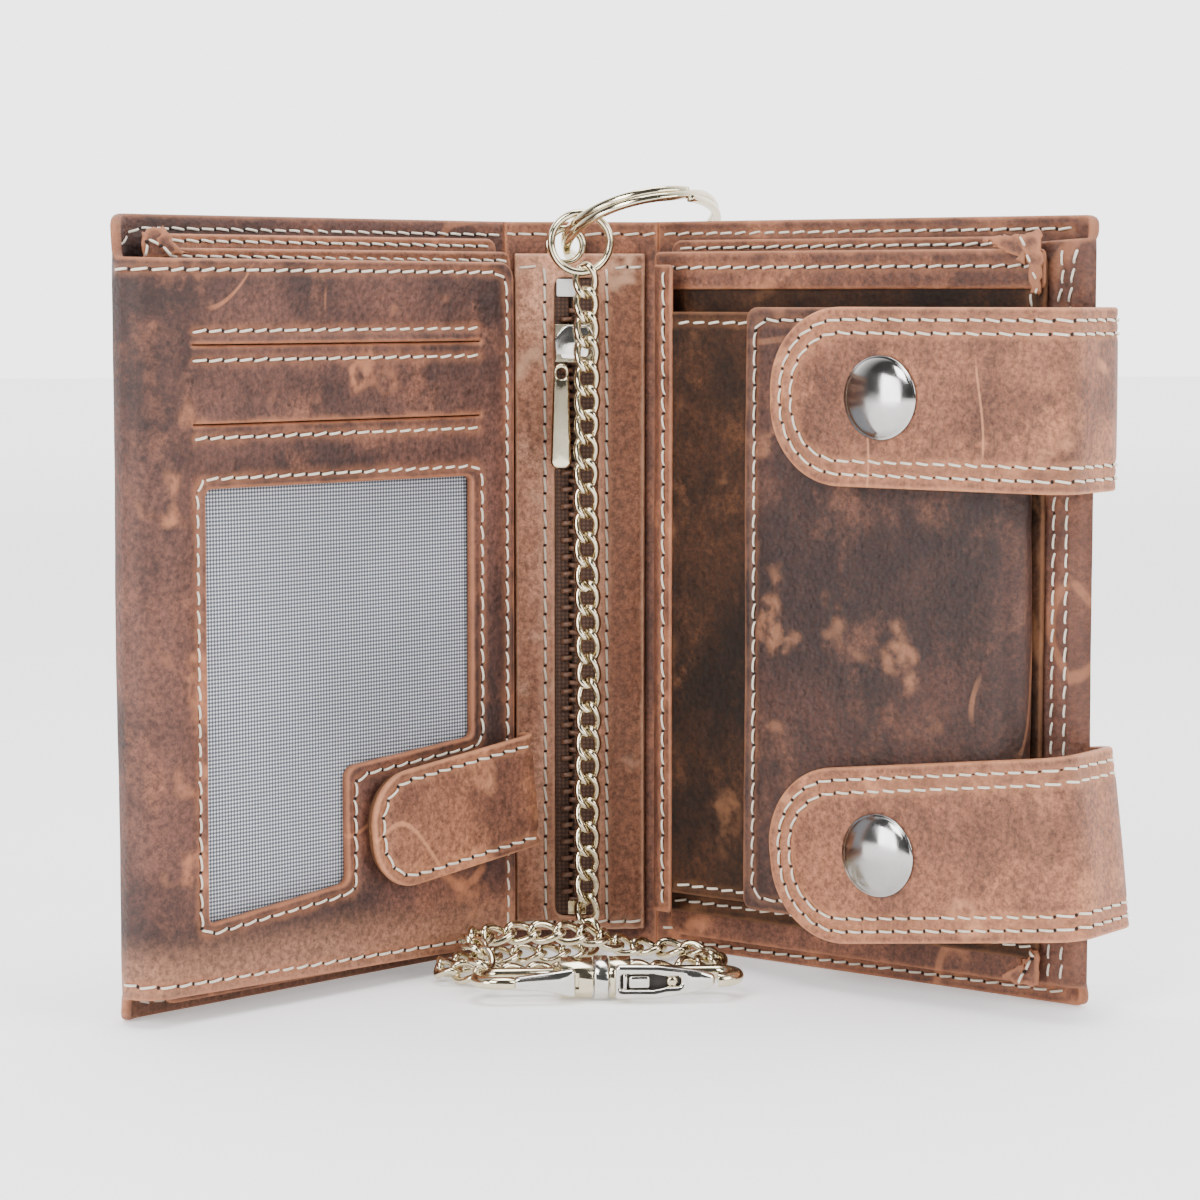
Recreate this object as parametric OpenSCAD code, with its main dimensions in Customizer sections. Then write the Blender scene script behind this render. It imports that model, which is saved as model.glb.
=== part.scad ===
// Chain wallet standing open like a book. Millimetres, +Z up, covers opening towards -Y.
// Each cover is drawn flat in its own frame: X runs from the spine fold to the fore-edge,
// Y points inwards from the middle of the outer leather, and Z is up.

/* [Wallet] */
// Height of the outer leather
wallet_h = 125; // [118:1:132]
// Distance from the fold axis to the fore-edge
cover_w = 87.2; // [86:0.2:90]
// Half the distance between the two spine fold axes
fold_x = 12; // [12:0.5:14]
// Angle of each cover from the closed position at rest
rest_angle = 48.5; // [40:0.5:60]
// Thickness of the outer leather
hide_t = 1.6; // [1.4:0.1:1.8]

/* [Identity panel] */
// Height of the window opening's top edge
window_top = 82.8; // [70:0.2:86]
// Height of the window opening's bottom edge
window_bottom = 15.4; // [14:0.2:30]
// Width of the card slots
slot_w = 61; // [56:1:62]

/* [Straps] */
// Width of each closing strap
strap_w = 28.6; // [26:0.2:30]
// Height of the upper strap's middle
upper_strap_z = 96.4; // [94:0.2:98]
// Height of the lower strap's middle under its cap
lower_strap_z = 23.4; // [22:0.2:26]
// Upward slant of the lower strap in degrees
lower_strap_slant = 7; // [0:1:8]
// Diameter of each snap cap
cap_d = 13.2; // [11:0.2:14]

/* [Metal] */
// Mean radius of the split key ring
split_ring_r = 13.2; // [12:0.2:14]
// Mean radius of the small jump ring
small_ring_r = 5; // [4.6:0.1:5.4]
// Width of the curb chain
chain_d = 4.4; // [3.6:0.1:4.4]
// Radius of the snap hook's round rod
hook_rod_r = 1; // [0.8:0.1:1.1]

/* [Hidden] */
$fn = 48;
eps = 0.01;

hide_half = hide_t / 2;
fold_y = 0;                // fold axes lie in the middle of the spine leather
fold_w = 4;                // from the spine fold axis to the cover fold axis
fold_gap = 1.1;            // rounded fold edge plus clearance
lining_t = 1.2;
inner_h = 119.6;           // top of the inner panels
roll_r = 5.6;              // outer radius of the rolled left fore-edge
hem_r = 2.4;               // outer radius of the turned right fore-edge
id_v = 8.8;                // back face of the identity panel's leather
id_edge = 9.2;             // free edge of the identity panel
id_bottom = 3.7;
id_top = 118;
slot_u = 16.6;
slot_z = [92.6, 104.9];
tab_slant = 6.5;
tab_z = 27.4;              // middle of the tab at its root
tab_half = 10.3;
tab_hinge = [7.4, 9.6];
zip_x = -0.9;              // middle line of the zip
zip_half = 3.7;            // half width of the zip opening
zip_z = [5.5, 115.5];
strap_tip = 35.4;
strap_in = 12.9;           // underside of a strap's inner leg
strap_t = 2.7;
strap_fold_u = 84;         // where a strap leaves the outer cover
strap_fold_v = -2.25;
upper_end = 90.2;          // furthest reach of each strap round the fore-edge
lower_end = 92;
strap_corner = 4.8;
cap_u = 56.8;
post_hole_r = 1.7;
eyelet_at = [-2.6, fold_y, 120.9];
ring_slope = 12;           // sideways slope of the split ring
ring_lean = 66;            // lean of the split ring towards the front
small_ring_at = [-0.4, -5.8, 121.4];
zip_panel_y = -2.4;        // front face of the leather round the zip
hook_y = -46;
hook_z = 3.6;
eye_r = 3.6;
eye_x = -16.2;
body_tip_x = 22;

// Hanging stretch of the chain, from the small ring down
drop_route = [
    [0.4, -6.4, 115], [0.5, -7, 108], [0.6, -7.4, 96], [0.4, -7.6, 80], [0.6, -7.6, 62],
    [0.8, -7.6, 44], [0.6, -7.6, 28], [0.5, -7.8, 16], [0.5, -8, 7.6]
];
// Heap of chain on the surface, from the foot of the hanging stretch to the hook's eye
pile_route = [
    [0.5, -11, 2.5], [-1, -14.8, 2.3], [-6, -18.8, 2.3], [-13, -19.3, 2.3], [-18.6, -23.4, 2.3],
    [-23.6, -27.8, 2.3], [-24.2, -31.6, 2.3], [-19, -34.8, 2.3], [-12, -36.3, 2.3], [-4, -35.8, 2.3],
    [4, -34.8, 2.3], [11, -34.8, 2.3], [17.5, -31.8, 2.3], [20.6, -25.8, 2.3], [18, -19.3, 2.3],
    [11.5, -16, 2.4], [5.5, -18, 3.4], [1, -21.8, 5.6], [-5, -24.3, 6.8], [-11, -24.4, 6.9],
    [-17, -26.2, 6.9], [-20, -30.8, 7], [-19.6, -35.8, 6.8], [-18.8, -39.8, 5.6]
];

hide = [0.5, 0.31, 0.22];
dark_hide = [0.36, 0.23, 0.18];
edge_hide = [0.6, 0.4, 0.28];
mesh_grey = [0.58, 0.6, 0.62];
cloth = [0.32, 0.24, 0.2];
nickel = [0.8, 0.79, 0.76];
bright = [0.9, 0.9, 0.9];

// ---------- frames and shapes that repeat ----------

module left_frame() {
    translate([-fold_x, fold_y, 0]) rotate([0, 0, 270 - rest_angle]) children();
}

module right_frame() {
    mirror([1, 0, 0]) left_frame() children();
}

// Flat outline with true round corners
module round_rect(low, high, r) {
    translate([low[0] + r, low[1]]) square([high[0] - low[0] - 2 * r, high[1] - low[1]]);
    translate([low[0], low[1] + r]) square([high[0] - low[0], high[1] - low[1] - 2 * r]);
    for (x = [low[0] + r, high[0] - r], y = [low[1] + r, high[1] - r])
        translate([x, y]) circle(r);
}

// Sheet standing in a cover's X-Z plane, from v0 to v1 across it
module sheet(v0, v1) {
    translate([0, v1, 0]) rotate([90, 0, 0]) linear_extrude(v1 - v0) children();
}

module panel(low, high, v0, v1, r = 2) {
    sheet(v0, v1) round_rect(low, high, r);
}

module disc(at, v0, v1, r) {
    translate([at[0], v1, at[1]]) rotate([90, 0, 0]) cylinder(r = r, h = v1 - v0);
}

module upright(at, r, z0, z1) {
    translate([at[0], at[1], z0]) cylinder(r = r, h = z1 - z0);
}

function cross_unit(a, b) = let (c = cross(a, b)) c / norm(c);
function tangent(path, i) =
    let (n = len(path), t = path[min(i + 1, n - 1)] - path[max(i - 1, 0)]) t / norm(t);

// Catmull-Rom curve through a hand-made route
function curve_point(p, i, t) =
    let (
        n = len(p),
        a = p[max(i - 1, 0)],
        b = p[i],
        c = p[min(i + 1, n - 1)],
        d = p[min(i + 2, n - 1)]
    )
    0.5 * (2 * b + (c - a) * t + (2 * a - 5 * b + 4 * c - d) * t * t
        + (3 * b - a - 3 * c + d) * t * t * t);
function curve(p, steps) = concat(
    [for (i = [0:len(p) - 2], s = [0:steps - 1]) curve_point(p, i, s / steps)],
    [p[len(p) - 1]]
);

// Eight-sided tube swept along a path
module tube(path, r, side) {
    n = len(path);
    m = 8;
    rings = [
        for (i = [0:n - 1])
            let (t = tangent(path, i), x = cross_unit(side, t), y = cross(t, x))
            [for (k = [0:m - 1]) path[i] + r * (cos(k * 360 / m) * x + sin(k * 360 / m) * y)]
    ];
    points = [for (ring = rings) each ring];
    walls = [
        for (i = [0:n - 2], k = [0:m - 1])
            [i * m + k, i * m + (k + 1) % m, (i + 1) * m + (k + 1) % m, (i + 1) * m + k]
    ];
    ends = [
        [for (k = [m - 1:-1:0]) k],
        [for (k = [0:m - 1]) (n - 1) * m + k]
    ];
    polyhedron(points = points, faces = [for (f = concat(walls, ends)) [for (j = [len(f) - 1:-1:0]) f[j]]]);
}

// ---------- spine ----------

module spine_cover() color(hide) {
    edge = fold_x - fold_gap;
    difference() {
        translate([-edge, fold_y - hide_half, 0]) cube([2 * edge, hide_t, wallet_h]);
        translate([eyelet_at[0], 5, eyelet_at[2]]) rotate([90, 0, 0]) cylinder(r = 2.7, h = 8);
    }
}

module zip_panel() color(hide) {
    edge = fold_x - fold_gap;
    difference() {
        translate([-edge, zip_panel_y, 3]) cube([2 * edge, lining_t, inner_h - 3]);
        translate([zip_x - zip_half, -5, zip_z[0]])
            cube([2 * zip_half, 6, zip_z[1] - zip_z[0]]);
        translate([eyelet_at[0], 5, eyelet_at[2]]) rotate([90, 0, 0]) cylinder(r = 3.4, h = 8);
    }
}

module zip_pouch() color(cloth) translate([-9.4, -1.15, 10]) cube([18.8, 0.3, 104]);

module zip_tapes() color(dark_hide) {
    for (side = [-1, 1])
        translate([zip_x + side * 2.02 - 1.5, -2.05, zip_z[0] + 0.2])
            cube([3, 0.5, zip_z[1] - zip_z[0] - 0.4]);
}

module zip_coils() color(dark_hide) {
    for (side = [-1, 1])
        upright([zip_x + side * 0.5, -2.5], 0.42, zip_z[0] + 3, zip_z[1] - 3.4);
}

module zip_top_stop() color(bright) translate([zip_x - 3.4, -3.1, 112.3]) cube([3.2, 1, 3]);

module zip_bottom_stop() color(nickel) translate([zip_x - 1.6, -3.1, 5.9]) cube([3.2, 1, 2.4]);

// Rolled metal eyelet through the spine leather
module eyelet() color(nickel)
    translate([eyelet_at[0], fold_y, eyelet_at[2]]) rotate([90, 0, 0]) rotate_extrude() {
        translate([2.3, -hide_half - 0.25]) square([0.35, hide_t + 0.5]);
        for (face = [-hide_half - 0.35, hide_half + 0.05])
            translate([2.3, face]) square([1.2, 0.3]);
    }

// The ring's plane: along a sideways slope, then leaning towards the front
module ring_frame() {
    translate(eyelet_at) rotate([0, -ring_slope, 0]) translate([split_ring_r, 0, 0])
        rotate([ring_lean, 0, 0]) rotate([90, 0, 0]) children();
}

module split_ring() color(nickel) ring_frame() rotate_extrude()
    translate([split_ring_r - 0.7, 0]) {
        translate([0, -1.3]) square([1.4, 1.25]);
        translate([0.1, -0.1]) square([1.2, 0.2]);
        translate([0, 0.05]) square([1.4, 1.25]);
    }

module small_ring() color(nickel) translate(small_ring_at) rotate([90, 0, 0])
    rotate_extrude() translate([small_ring_r, 0]) circle(0.65);

// ---------- zip slider ----------

module zip_slider() color(nickel) {
    difference() {
        translate([zip_x - 3.8, -4.6, 101.2]) cube([7.4, 1.5, 6.4]);
        translate([zip_x, -3.2, 99]) cylinder(r = 0.6, h = 12);
    }
    translate([-4.6, -5.2, 101.6]) cube([2, 0.7, 1]);
}

module zip_pull() color(nickel) difference() {
    sheet(-6.6, -5.5) difference() {
        round_rect([-5.4, 83.2], [-2.1, 101], 1.5);
        translate([-3.75, 99.6]) circle(0.9);
    }
    translate([-4.4, -7.8, 86]) cube([1.3, 4, 7]);
}

// ---------- folds ----------

module fold_strip() color(hide) {
    upright([0, 0], hide_half, 0, wallet_h);
    upright([fold_w, 0], hide_half, 0, wallet_h);
    translate([0, -hide_half, 0]) cube([fold_w, hide_t, wallet_h]);
}

module left_fold() left_frame() fold_strip();

module right_fold() right_frame() fold_strip();

// ---------- left cover ----------

// Quarter of a rolled edge, between the two angles
module quarter_roll(at, r, t, from) {
    translate([at[0], at[1], 0]) rotate([0, 0, from])
        rotate_extrude(angle = 90) translate([r - t, 0]) square([t, 1]);
}

module left_outer_cover() color(hide) left_frame() {
    middle = cover_w - roll_r;
    panel([fold_w + fold_gap, 0], [middle + eps, wallet_h], -hide_half, hide_half, 0.2);
    scale([1, 1, wallet_h]) quarter_roll([middle, roll_r - hide_half], roll_r, hide_t, -90);
}

module left_divider() color(hide) left_frame()
    panel([7, 3], [80, 122], 2.2, 3.4, 3);

module left_inner_panel() color(hide) left_frame()
    panel([5.6, 2.5], [80.4, inner_h], 4.4, 5.6, 3);

module strap_studs() color(nickel) left_frame()
    for (z = [lower_strap_z, upper_strap_z]) {
        disc([60, z], -1.5, -hide_half, 4.6);
        disc([60, z], -3.2, -1.5 + eps, 2);
    }

module window_cut() {
    notch_u = 46.4;
    notch_z = 38.4;
    right_u = 19;
    round_rect([notch_u, window_bottom], [75.2, window_top], 1);
    translate([right_u, notch_z]) square([notch_u - right_u + 4, window_top - notch_z]);
}

module id_panel_front() color(hide) left_frame() {
    middle = cover_w - roll_r;
    sheet(id_v, id_v + hide_t) difference() {
        translate([id_edge, id_bottom]) square([middle - id_edge + eps, id_top - id_bottom]);
        window_cut();
        for (z = slot_z) translate([slot_u, z]) square([slot_w, 0.5]);
    }
    translate([0, 0, id_bottom]) scale([1, 1, id_top - id_bottom])
        quarter_roll([middle, roll_r - hide_half], roll_r, hide_t, 0);
}

module id_panel_back() color(dark_hide) left_frame()
    panel([id_edge + 0.6, id_bottom + 0.6], [80.6, id_top - 0.6], 6.4, 7.4, 3);

module id_window_mesh() color(mesh_grey) left_frame()
    panel([15, 11.5], [79, 86.5], 8.4, 8.75, 1);

module card_pocket_upper() color(cloth) left_frame()
    panel([slot_u - 1, 52], [slot_u + slot_w + 1, 108], 8, 8.3, 1);

module card_pocket_lower() color(cloth) left_frame()
    panel([slot_u - 1, 40], [slot_u + slot_w + 1, 96], 7.6, 7.9, 1);

// ---------- identity panel's tab ----------

module tab_stud() color(nickel) left_frame() disc([33, 27], id_v + hide_t, 10.85, 4);

module tab_leaf(v0, v1) {
    slant_at = [tab_hinge[0], tab_z + 2];
    sheet(v0, v1) translate(slant_at) rotate(-tab_slant) {
        translate([0.6, -tab_half]) square([26, 2 * tab_half]);
        translate([26.6, -tab_half + 6]) square([10, 2 * tab_half - 12]);
        for (side = [-1, 1]) translate([26.6, side * (tab_half - 8)]) circle(8);
        translate([26.6, -2.3]) square([8, 4.6]);
        translate([28, 0]) circle(8.6);
    }
}

module tab_front() color(edge_hide) left_frame() {
    tab_leaf(12.25, 13.5);
    upright(tab_hinge, 1.5, 20.4, 38.6);
    translate([6, tab_hinge[1], 20.4]) cube([1.95, 13.5 - tab_hinge[1], 18.2]);
}

module tab_back() color(dark_hide) left_frame() difference() {
    tab_leaf(11, 12.2);
    disc([33, 27], 10, 13, 4.7);
    translate([5, 8, 0]) cube([3, 8, 60]);
}

module tab_socket() color(nickel) left_frame() disc([33, 27], 11, 12.2, 4.4);

// ---------- right cover ----------

module right_outer_cover() color(hide) right_frame() {
    middle = cover_w - hem_r;
    panel([fold_w + fold_gap, 0], [middle + eps, wallet_h], -hide_half, hide_half, 0.2);
    for (from = [-90, 0])
        scale([1, 1, wallet_h]) quarter_roll([middle, hem_r - hide_half], hem_r, hide_t, from);
}

module right_fore_hem() color(hide) right_frame()
    panel([77, 3], [cover_w - hem_r, 121], 2 * hem_r - hide_half - hide_t, 2 * hem_r - hide_half, 0.5);

module right_divider() color(hide) right_frame()
    panel([7, 3], [76.4, 122], 2, 3, 3);

module right_base_panel() color(dark_hide) right_frame()
    panel([5.6, 7.6], [80.4, inner_h], 4.3, 5.5, 2);

module coin_pocket_front() color(dark_hide) right_frame()
    panel([9.4, 11.6], [74, 109.6], 8.6, 9.7, 2);

// Three gusset walls; the pocket's mouth faces the fore-edge, under the flap
module coin_gusset() color(dark_hide) right_frame() {
    translate([9.8, 5.5, 14]) cube([1.2, 3.1, 93]);
    for (z = [12.4, 107.6]) translate([11.4, 5.5, z]) cube([62, 3.1, 1.2]);
}

module coin_flap_wall() color(dark_hide) right_frame()
    translate([80.9, 4, 12]) cube([1.4, 5.6, 97]);

module coin_flap() color(hide) right_frame() {
    panel([28, 11], [81.6, 110.6], 10.7, 11.8, 0.4);
    upright([81.6, 10.9], 0.9, 11, 110.6);
}

module coin_flap_lining() color(dark_hide) right_frame()
    panel([28.6, 11.6], [80.2, 110], 9.95, 10.65, 3);

// ---------- straps ----------

// A strap's frame: origin on its fold line, middle of its width
module strap_frame(z, slant) {
    right_frame() translate([strap_fold_u, 0, z]) rotate([0, -slant, 0])
        translate([-strap_fold_u, 0, 0]) children();
}

function lower_fold_z() =
    lower_strap_z + (strap_fold_u - cap_u) * tan(lower_strap_slant);

// Section of a U-shaped strap between an outer and an inner offset, reaching out to far
module u_section(outer, inner, far) {
    top = strap_in + strap_t;
    bottom = strap_fold_v - strap_t / 2;
    difference() {
        round_rect([20, bottom + outer], [far - outer, top - outer], strap_corner - outer);
        round_rect([18, bottom + inner], [far - inner, top - inner], strap_corner - inner);
        translate([0, -10]) square([strap_fold_u, 12]);
        translate([0, -10]) square([cap_u - 30, 40]);
    }
}

// Rounded outline of the strap's leg, seen square on
module strap_outline(half, far) {
    tip = strap_tip + 14.3 - half;
    translate([tip + half, -half]) square([far - tip - half + 1, 2 * half]);
    translate([tip + half, 0]) circle(half);
}

module strap_shape(outer, inner, half, far) {
    intersection() {
        translate([0, 0, -half]) linear_extrude(2 * half) u_section(outer, inner, far);
        sheet(-20, 30) strap_outline(half, far);
    }
}

module strap_skin(far) {
    difference() {
        union() {
            strap_shape(0, 1.5, strap_w / 2, far);
            translate([strap_fold_u, strap_fold_v, -strap_w / 2])
                cylinder(r = strap_t / 2, h = strap_w);
        }
        disc([cap_u, 0], 10, 20, post_hole_r);
    }
}

module strap_inside(far) {
    difference() {
        strap_shape(1.55, strap_t, strap_w / 2 - 0.6, far);
        disc([cap_u, 0], 10, 20, post_hole_r);
        translate([strap_fold_u - 5, -6, -20]) cube([5 + 1.6, 6, 40]);
    }
}

module snap_cap() {
    top = strap_in + strap_t;
    dome_h = 1.5;
    dome_r = (cap_d * cap_d / 4 + dome_h * dome_h) / (2 * dome_h);
    translate([cap_u, top + 0.05, 0]) rotate([-90, 0, 0]) rotate_extrude() intersection() {
        translate([0, dome_h - dome_r]) circle(dome_r, $fn = 160);
        square([cap_d / 2, dome_h + 1]);
    }
    disc([cap_u, 0], strap_in - 0.6, top + 0.1, 1.6);
}

module snap_socket() {
    difference() {
        disc([cap_u, 0], strap_in - 0.9, strap_in - 0.05, 5.2);
        disc([cap_u, 0], 10, 14, post_hole_r);
    }
}

module strap_anchor() {
    translate([60, strap_fold_v - strap_t / 2, -strap_w / 2])
        cube([strap_fold_u - 2 - 60, strap_t, strap_w]);
}

module upper() strap_frame(upper_strap_z, 0) children();

module lower() strap_frame(lower_fold_z(), lower_strap_slant) children();

module upper_strap_anchor() color(hide) upper() strap_anchor();

module lower_strap_anchor() color(hide) lower() strap_anchor();

module upper_strap() color(edge_hide) upper() strap_skin(upper_end);

module upper_strap_lining() color(dark_hide) upper() strap_inside(upper_end);

module upper_snap_cap() color(nickel) upper() snap_cap();

module upper_snap_socket() color(nickel) upper() snap_socket();

module lower_strap() color(edge_hide) lower() strap_skin(lower_end);

module lower_strap_lining() color(dark_hide) lower() strap_inside(lower_end);

module lower_snap_cap() color(nickel) lower() snap_cap();

module lower_snap_socket() color(nickel) lower() snap_socket();

// ---------- chain ----------

module chain_drop() color(nickel) tube(curve(drop_route, 1), chain_d / 2, [0, 1, 0]);

module chain_pile() color(nickel) tube(curve(pile_route, 2), chain_d / 2, [0, 0, 1]);

// ---------- snap hook, lying along X ----------

module hook_frame() {
    translate([0, hook_y, hook_z]) children();
}

module rod(from, to, r) {
    translate(from) rotate([0, 90, 0]) cylinder(r = r, h = to[0] - from[0]);
}

module hook_eye() color(nickel) hook_frame() {
    translate([eye_x, 0, 0]) rotate([0, 0, 90])
        rotate_extrude(angle = 180) translate([eye_r, 0]) circle(hook_rod_r);
    rod([eye_x - eps, eye_r, 0], [-5, 0, 0], hook_rod_r);
    rod([eye_x - eps, -eye_r, 0], [-14, 0, 0], hook_rod_r);
    difference() {
        translate([-6.4, 0, 0]) rotate([0, 90, 0]) cylinder(r = 3.3, h = 5);
        translate([-7, 0, 0]) rotate([0, 90, 0]) cylinder(r = 1.3, h = 8);
        translate([-7, -4.6, -1.3]) cube([3.4, 2.6, 2.6]);
    }
    translate([-7.4, 1.6, -1.4]) cube([2, 2.6, 2.8]);
}

module hook_eye_gate() color(bright) hook_frame() difference() {
    translate([-13.6, -4.4, -1.1]) cube([9.7, 1.8, 2.2]);
    translate([-4.9, -3.4, -3]) cylinder(r = 0.45, h = 6);
}

// Pin that joins the two halves and lets them turn.
module hook_swivel_pin() color(nickel) hook_frame() {
    rod([-3.4, 0, 0], [4.2, 0, 0], 1.2);
}

module hook_collar() color(bright) hook_frame() translate([-1.2, 0, 0]) rotate([0, 90, 0])
    difference() {
        cylinder(r = 3.55, h = 2.4);
        translate([0, 0, -1]) cylinder(r = 1.3, h = 5);
    }

module hook_body() color(nickel) hook_frame() {
    back = 3.4;
    translate([body_tip_x - back, 0, 0]) rotate([0, 0, -90])
        rotate_extrude(angle = 180) translate([back, 0]) circle(1.15);
    rod([3, back, 0], [body_tip_x - back + eps, 0, 0], 1.15);
    difference() {
        translate([1.4, 0, 0]) rotate([0, 90, 0]) cylinder(r = 3.4, h = 3.4);
        translate([1, 0, 0]) rotate([0, 90, 0]) cylinder(r = 1.3, h = 8);
        translate([2.6, -5, -1.5]) cube([4, 2.9, 3]);
    }
}

module hook_lever() color(bright) hook_frame() difference() {
    translate([2.9, -4.5, 0]) rotate([-90, 0, 0]) linear_extrude(2)
        polygon([[0, -1.2], [2.2, -1.2], [3.4, -2.4], [14, -1.5], [14, 1.5], [3.4, 2.4], [2.2, 1.2], [0, 1.2]]);
    translate([3.7, -3.5, -4]) cylinder(r = 0.45, h = 8);
    translate([7, -6, -0.7]) cube([6, 5, 1.4]);
}

module gate_rivet() color(bright) hook_frame()
    translate([-4.9, -3.4, -1.28]) cylinder(r = 0.4, h = 2.56);

module lever_rivet() color(bright) hook_frame()
    translate([3.7, -3.5, -1.45]) cylinder(r = 0.4, h = 2.9);

spine_cover();
zip_panel();
zip_pouch();
zip_tapes();
zip_coils();
zip_top_stop();
zip_bottom_stop();
eyelet();
split_ring();
small_ring();
zip_slider();
zip_pull();
left_fold();
right_fold();
left_outer_cover();
left_divider();
left_inner_panel();
strap_studs();
id_panel_front();
id_panel_back();
id_window_mesh();
card_pocket_upper();
card_pocket_lower();
tab_stud();
tab_front();
tab_back();
tab_socket();
right_outer_cover();
right_fore_hem();
right_divider();
right_base_panel();
coin_pocket_front();
coin_gusset();
coin_flap_wall();
coin_flap();
coin_flap_lining();
upper_strap_anchor();
lower_strap_anchor();
upper_strap();
upper_strap_lining();
upper_snap_cap();
upper_snap_socket();
lower_strap();
lower_strap_lining();
lower_snap_cap();
lower_snap_socket();
chain_drop();
chain_pile();
hook_eye();
hook_eye_gate();
hook_swivel_pin();
hook_collar();
hook_body();
hook_lever();
gate_rivet();
lever_rivet();
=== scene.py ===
import math
import random

import bmesh
import bpy
import numpy as np
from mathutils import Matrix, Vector
from mathutils.geometry import delaunay_2d_cdt


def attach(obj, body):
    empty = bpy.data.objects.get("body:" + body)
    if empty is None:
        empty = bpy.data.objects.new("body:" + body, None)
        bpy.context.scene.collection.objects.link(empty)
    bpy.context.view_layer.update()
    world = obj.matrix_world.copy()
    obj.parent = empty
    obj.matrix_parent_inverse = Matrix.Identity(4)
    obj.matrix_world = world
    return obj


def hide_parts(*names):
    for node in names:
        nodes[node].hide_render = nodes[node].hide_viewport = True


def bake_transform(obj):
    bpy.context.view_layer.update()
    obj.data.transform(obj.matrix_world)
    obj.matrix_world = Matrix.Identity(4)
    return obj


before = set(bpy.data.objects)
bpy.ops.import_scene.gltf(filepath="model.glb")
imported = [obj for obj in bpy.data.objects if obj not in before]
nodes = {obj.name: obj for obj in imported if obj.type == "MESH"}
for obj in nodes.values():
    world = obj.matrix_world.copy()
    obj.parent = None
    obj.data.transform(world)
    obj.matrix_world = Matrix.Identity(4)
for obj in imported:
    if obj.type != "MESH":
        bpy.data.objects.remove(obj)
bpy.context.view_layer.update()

MM = 0.001
PLANE_UNIT = 0.01     # units of a sheet's own plane per millimetre
rng = random.Random(7)

# ---------- camera ----------

view_camera = bpy.data.objects.new("view_camera", bpy.data.cameras.new("view_camera"))
bpy.context.collection.objects.link(view_camera)
view_camera.data.lens = 100.6
view_camera.data.sensor_width = 36
view_camera.data.clip_start = 0.01
view_camera.location = (-0.0384, -0.5747, 0.1126)
view_camera.rotation_euler = (math.radians(84.8), 0, math.radians(-4.15))
bpy.context.scene.camera = view_camera

# ---------- materials ----------


class Graph:
    """A material's or world's nodes, with short calls for the ones that repeat."""

    def __init__(self, owner, shader="Principled BSDF", spot="Object"):
        owner.use_nodes = True
        self.owner, self.tree = owner, owner.node_tree
        self.shader = self.tree.nodes[shader]
        self.spot = self.tree.nodes.new("ShaderNodeTexCoord").outputs[spot]

    def link(self, value, socket):
        if isinstance(value, bpy.types.NodeSocket):
            self.tree.links.new(value, socket)
        elif value is not None:
            socket.default_value = value

    def set(self, **values):
        for name, value in values.items():
            self.link(value, self.shader.inputs[name.replace("_", " ")])

    def math(self, operation, a, b=None):
        node = self.tree.nodes.new("ShaderNodeMath")
        node.operation = operation
        self.link(a, node.inputs[0])
        self.link(b, node.inputs[1])
        return node.outputs[0]

    def centred(self, value, size=1.0):
        return self.math("MULTIPLY", self.math("SUBTRACT", value, 0.5), size)

    def stretched(self, scale):
        node = self.tree.nodes.new("ShaderNodeMapping")
        self.link(self.spot, node.inputs["Vector"])
        node.inputs["Scale"].default_value = scale
        return node.outputs[0]

    def noise(self, scale, detail=3.0, rough=0.55, vector=None):
        node = self.tree.nodes.new("ShaderNodeTexNoise")
        node.inputs["Scale"].default_value = scale
        node.inputs["Detail"].default_value = detail
        node.inputs["Roughness"].default_value = rough
        self.link(vector or self.spot, node.inputs["Vector"])
        return node.outputs[0]

    def cells(self, scale):
        node = self.tree.nodes.new("ShaderNodeTexVoronoi")
        node.inputs["Scale"].default_value = scale
        self.link(self.spot, node.inputs["Vector"])
        return node.outputs["Distance"]

    def ramp(self, value, low, high, out_low=0.0, out_high=1.0, kind="SMOOTHSTEP"):
        node = self.tree.nodes.new("ShaderNodeMapRange")
        node.interpolation_type = kind
        for socket, number in zip(node.inputs[1:5], (low, high, out_low, out_high)):
            socket.default_value = number
        self.link(value, node.inputs[0])
        return node.outputs[0]

    def mix(self, factor, a, b, blend="MIX"):
        node = self.tree.nodes.new("ShaderNodeMix")
        node.data_type, node.blend_type = "RGBA", blend
        self.link(factor, node.inputs[0])
        self.link(a, node.inputs[6])
        self.link(b, node.inputs[7])
        return node.outputs[2]

    def parts(self, value, kind="XYZ"):
        node = self.tree.nodes.new("ShaderNodeSeparate" + kind)
        self.link(value, node.inputs[0])
        return tuple(node.outputs)[:3]

    def channels(self, name):
        node = self.tree.nodes.new("ShaderNodeVertexColor")
        node.layer_name = name
        return self.parts(node.outputs[0], "Color")

    def plane(self):
        node = self.tree.nodes.new("ShaderNodeUVMap")
        node.uv_map = "plane"
        return self.parts(node.outputs[0])[:2]

    def bump(self, height, distance, strength, normal=None):
        node = self.tree.nodes.new("ShaderNodeBump")
        node.inputs["Strength"].default_value = strength
        node.inputs["Distance"].default_value = distance
        self.link(height, node.inputs["Height"])
        self.link(normal, node.inputs["Normal"])
        return node.outputs[0]


def linear(r, g, b):
    """Linear colour from an 8-bit display colour."""
    return (*((c / 255 / 12.92) if c < 11 else ((c / 255 + 0.055) / 1.055) ** 2.4 for c in (r, g, b)), 1.0)


GRAIN_SCALE = 1150.0


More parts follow.
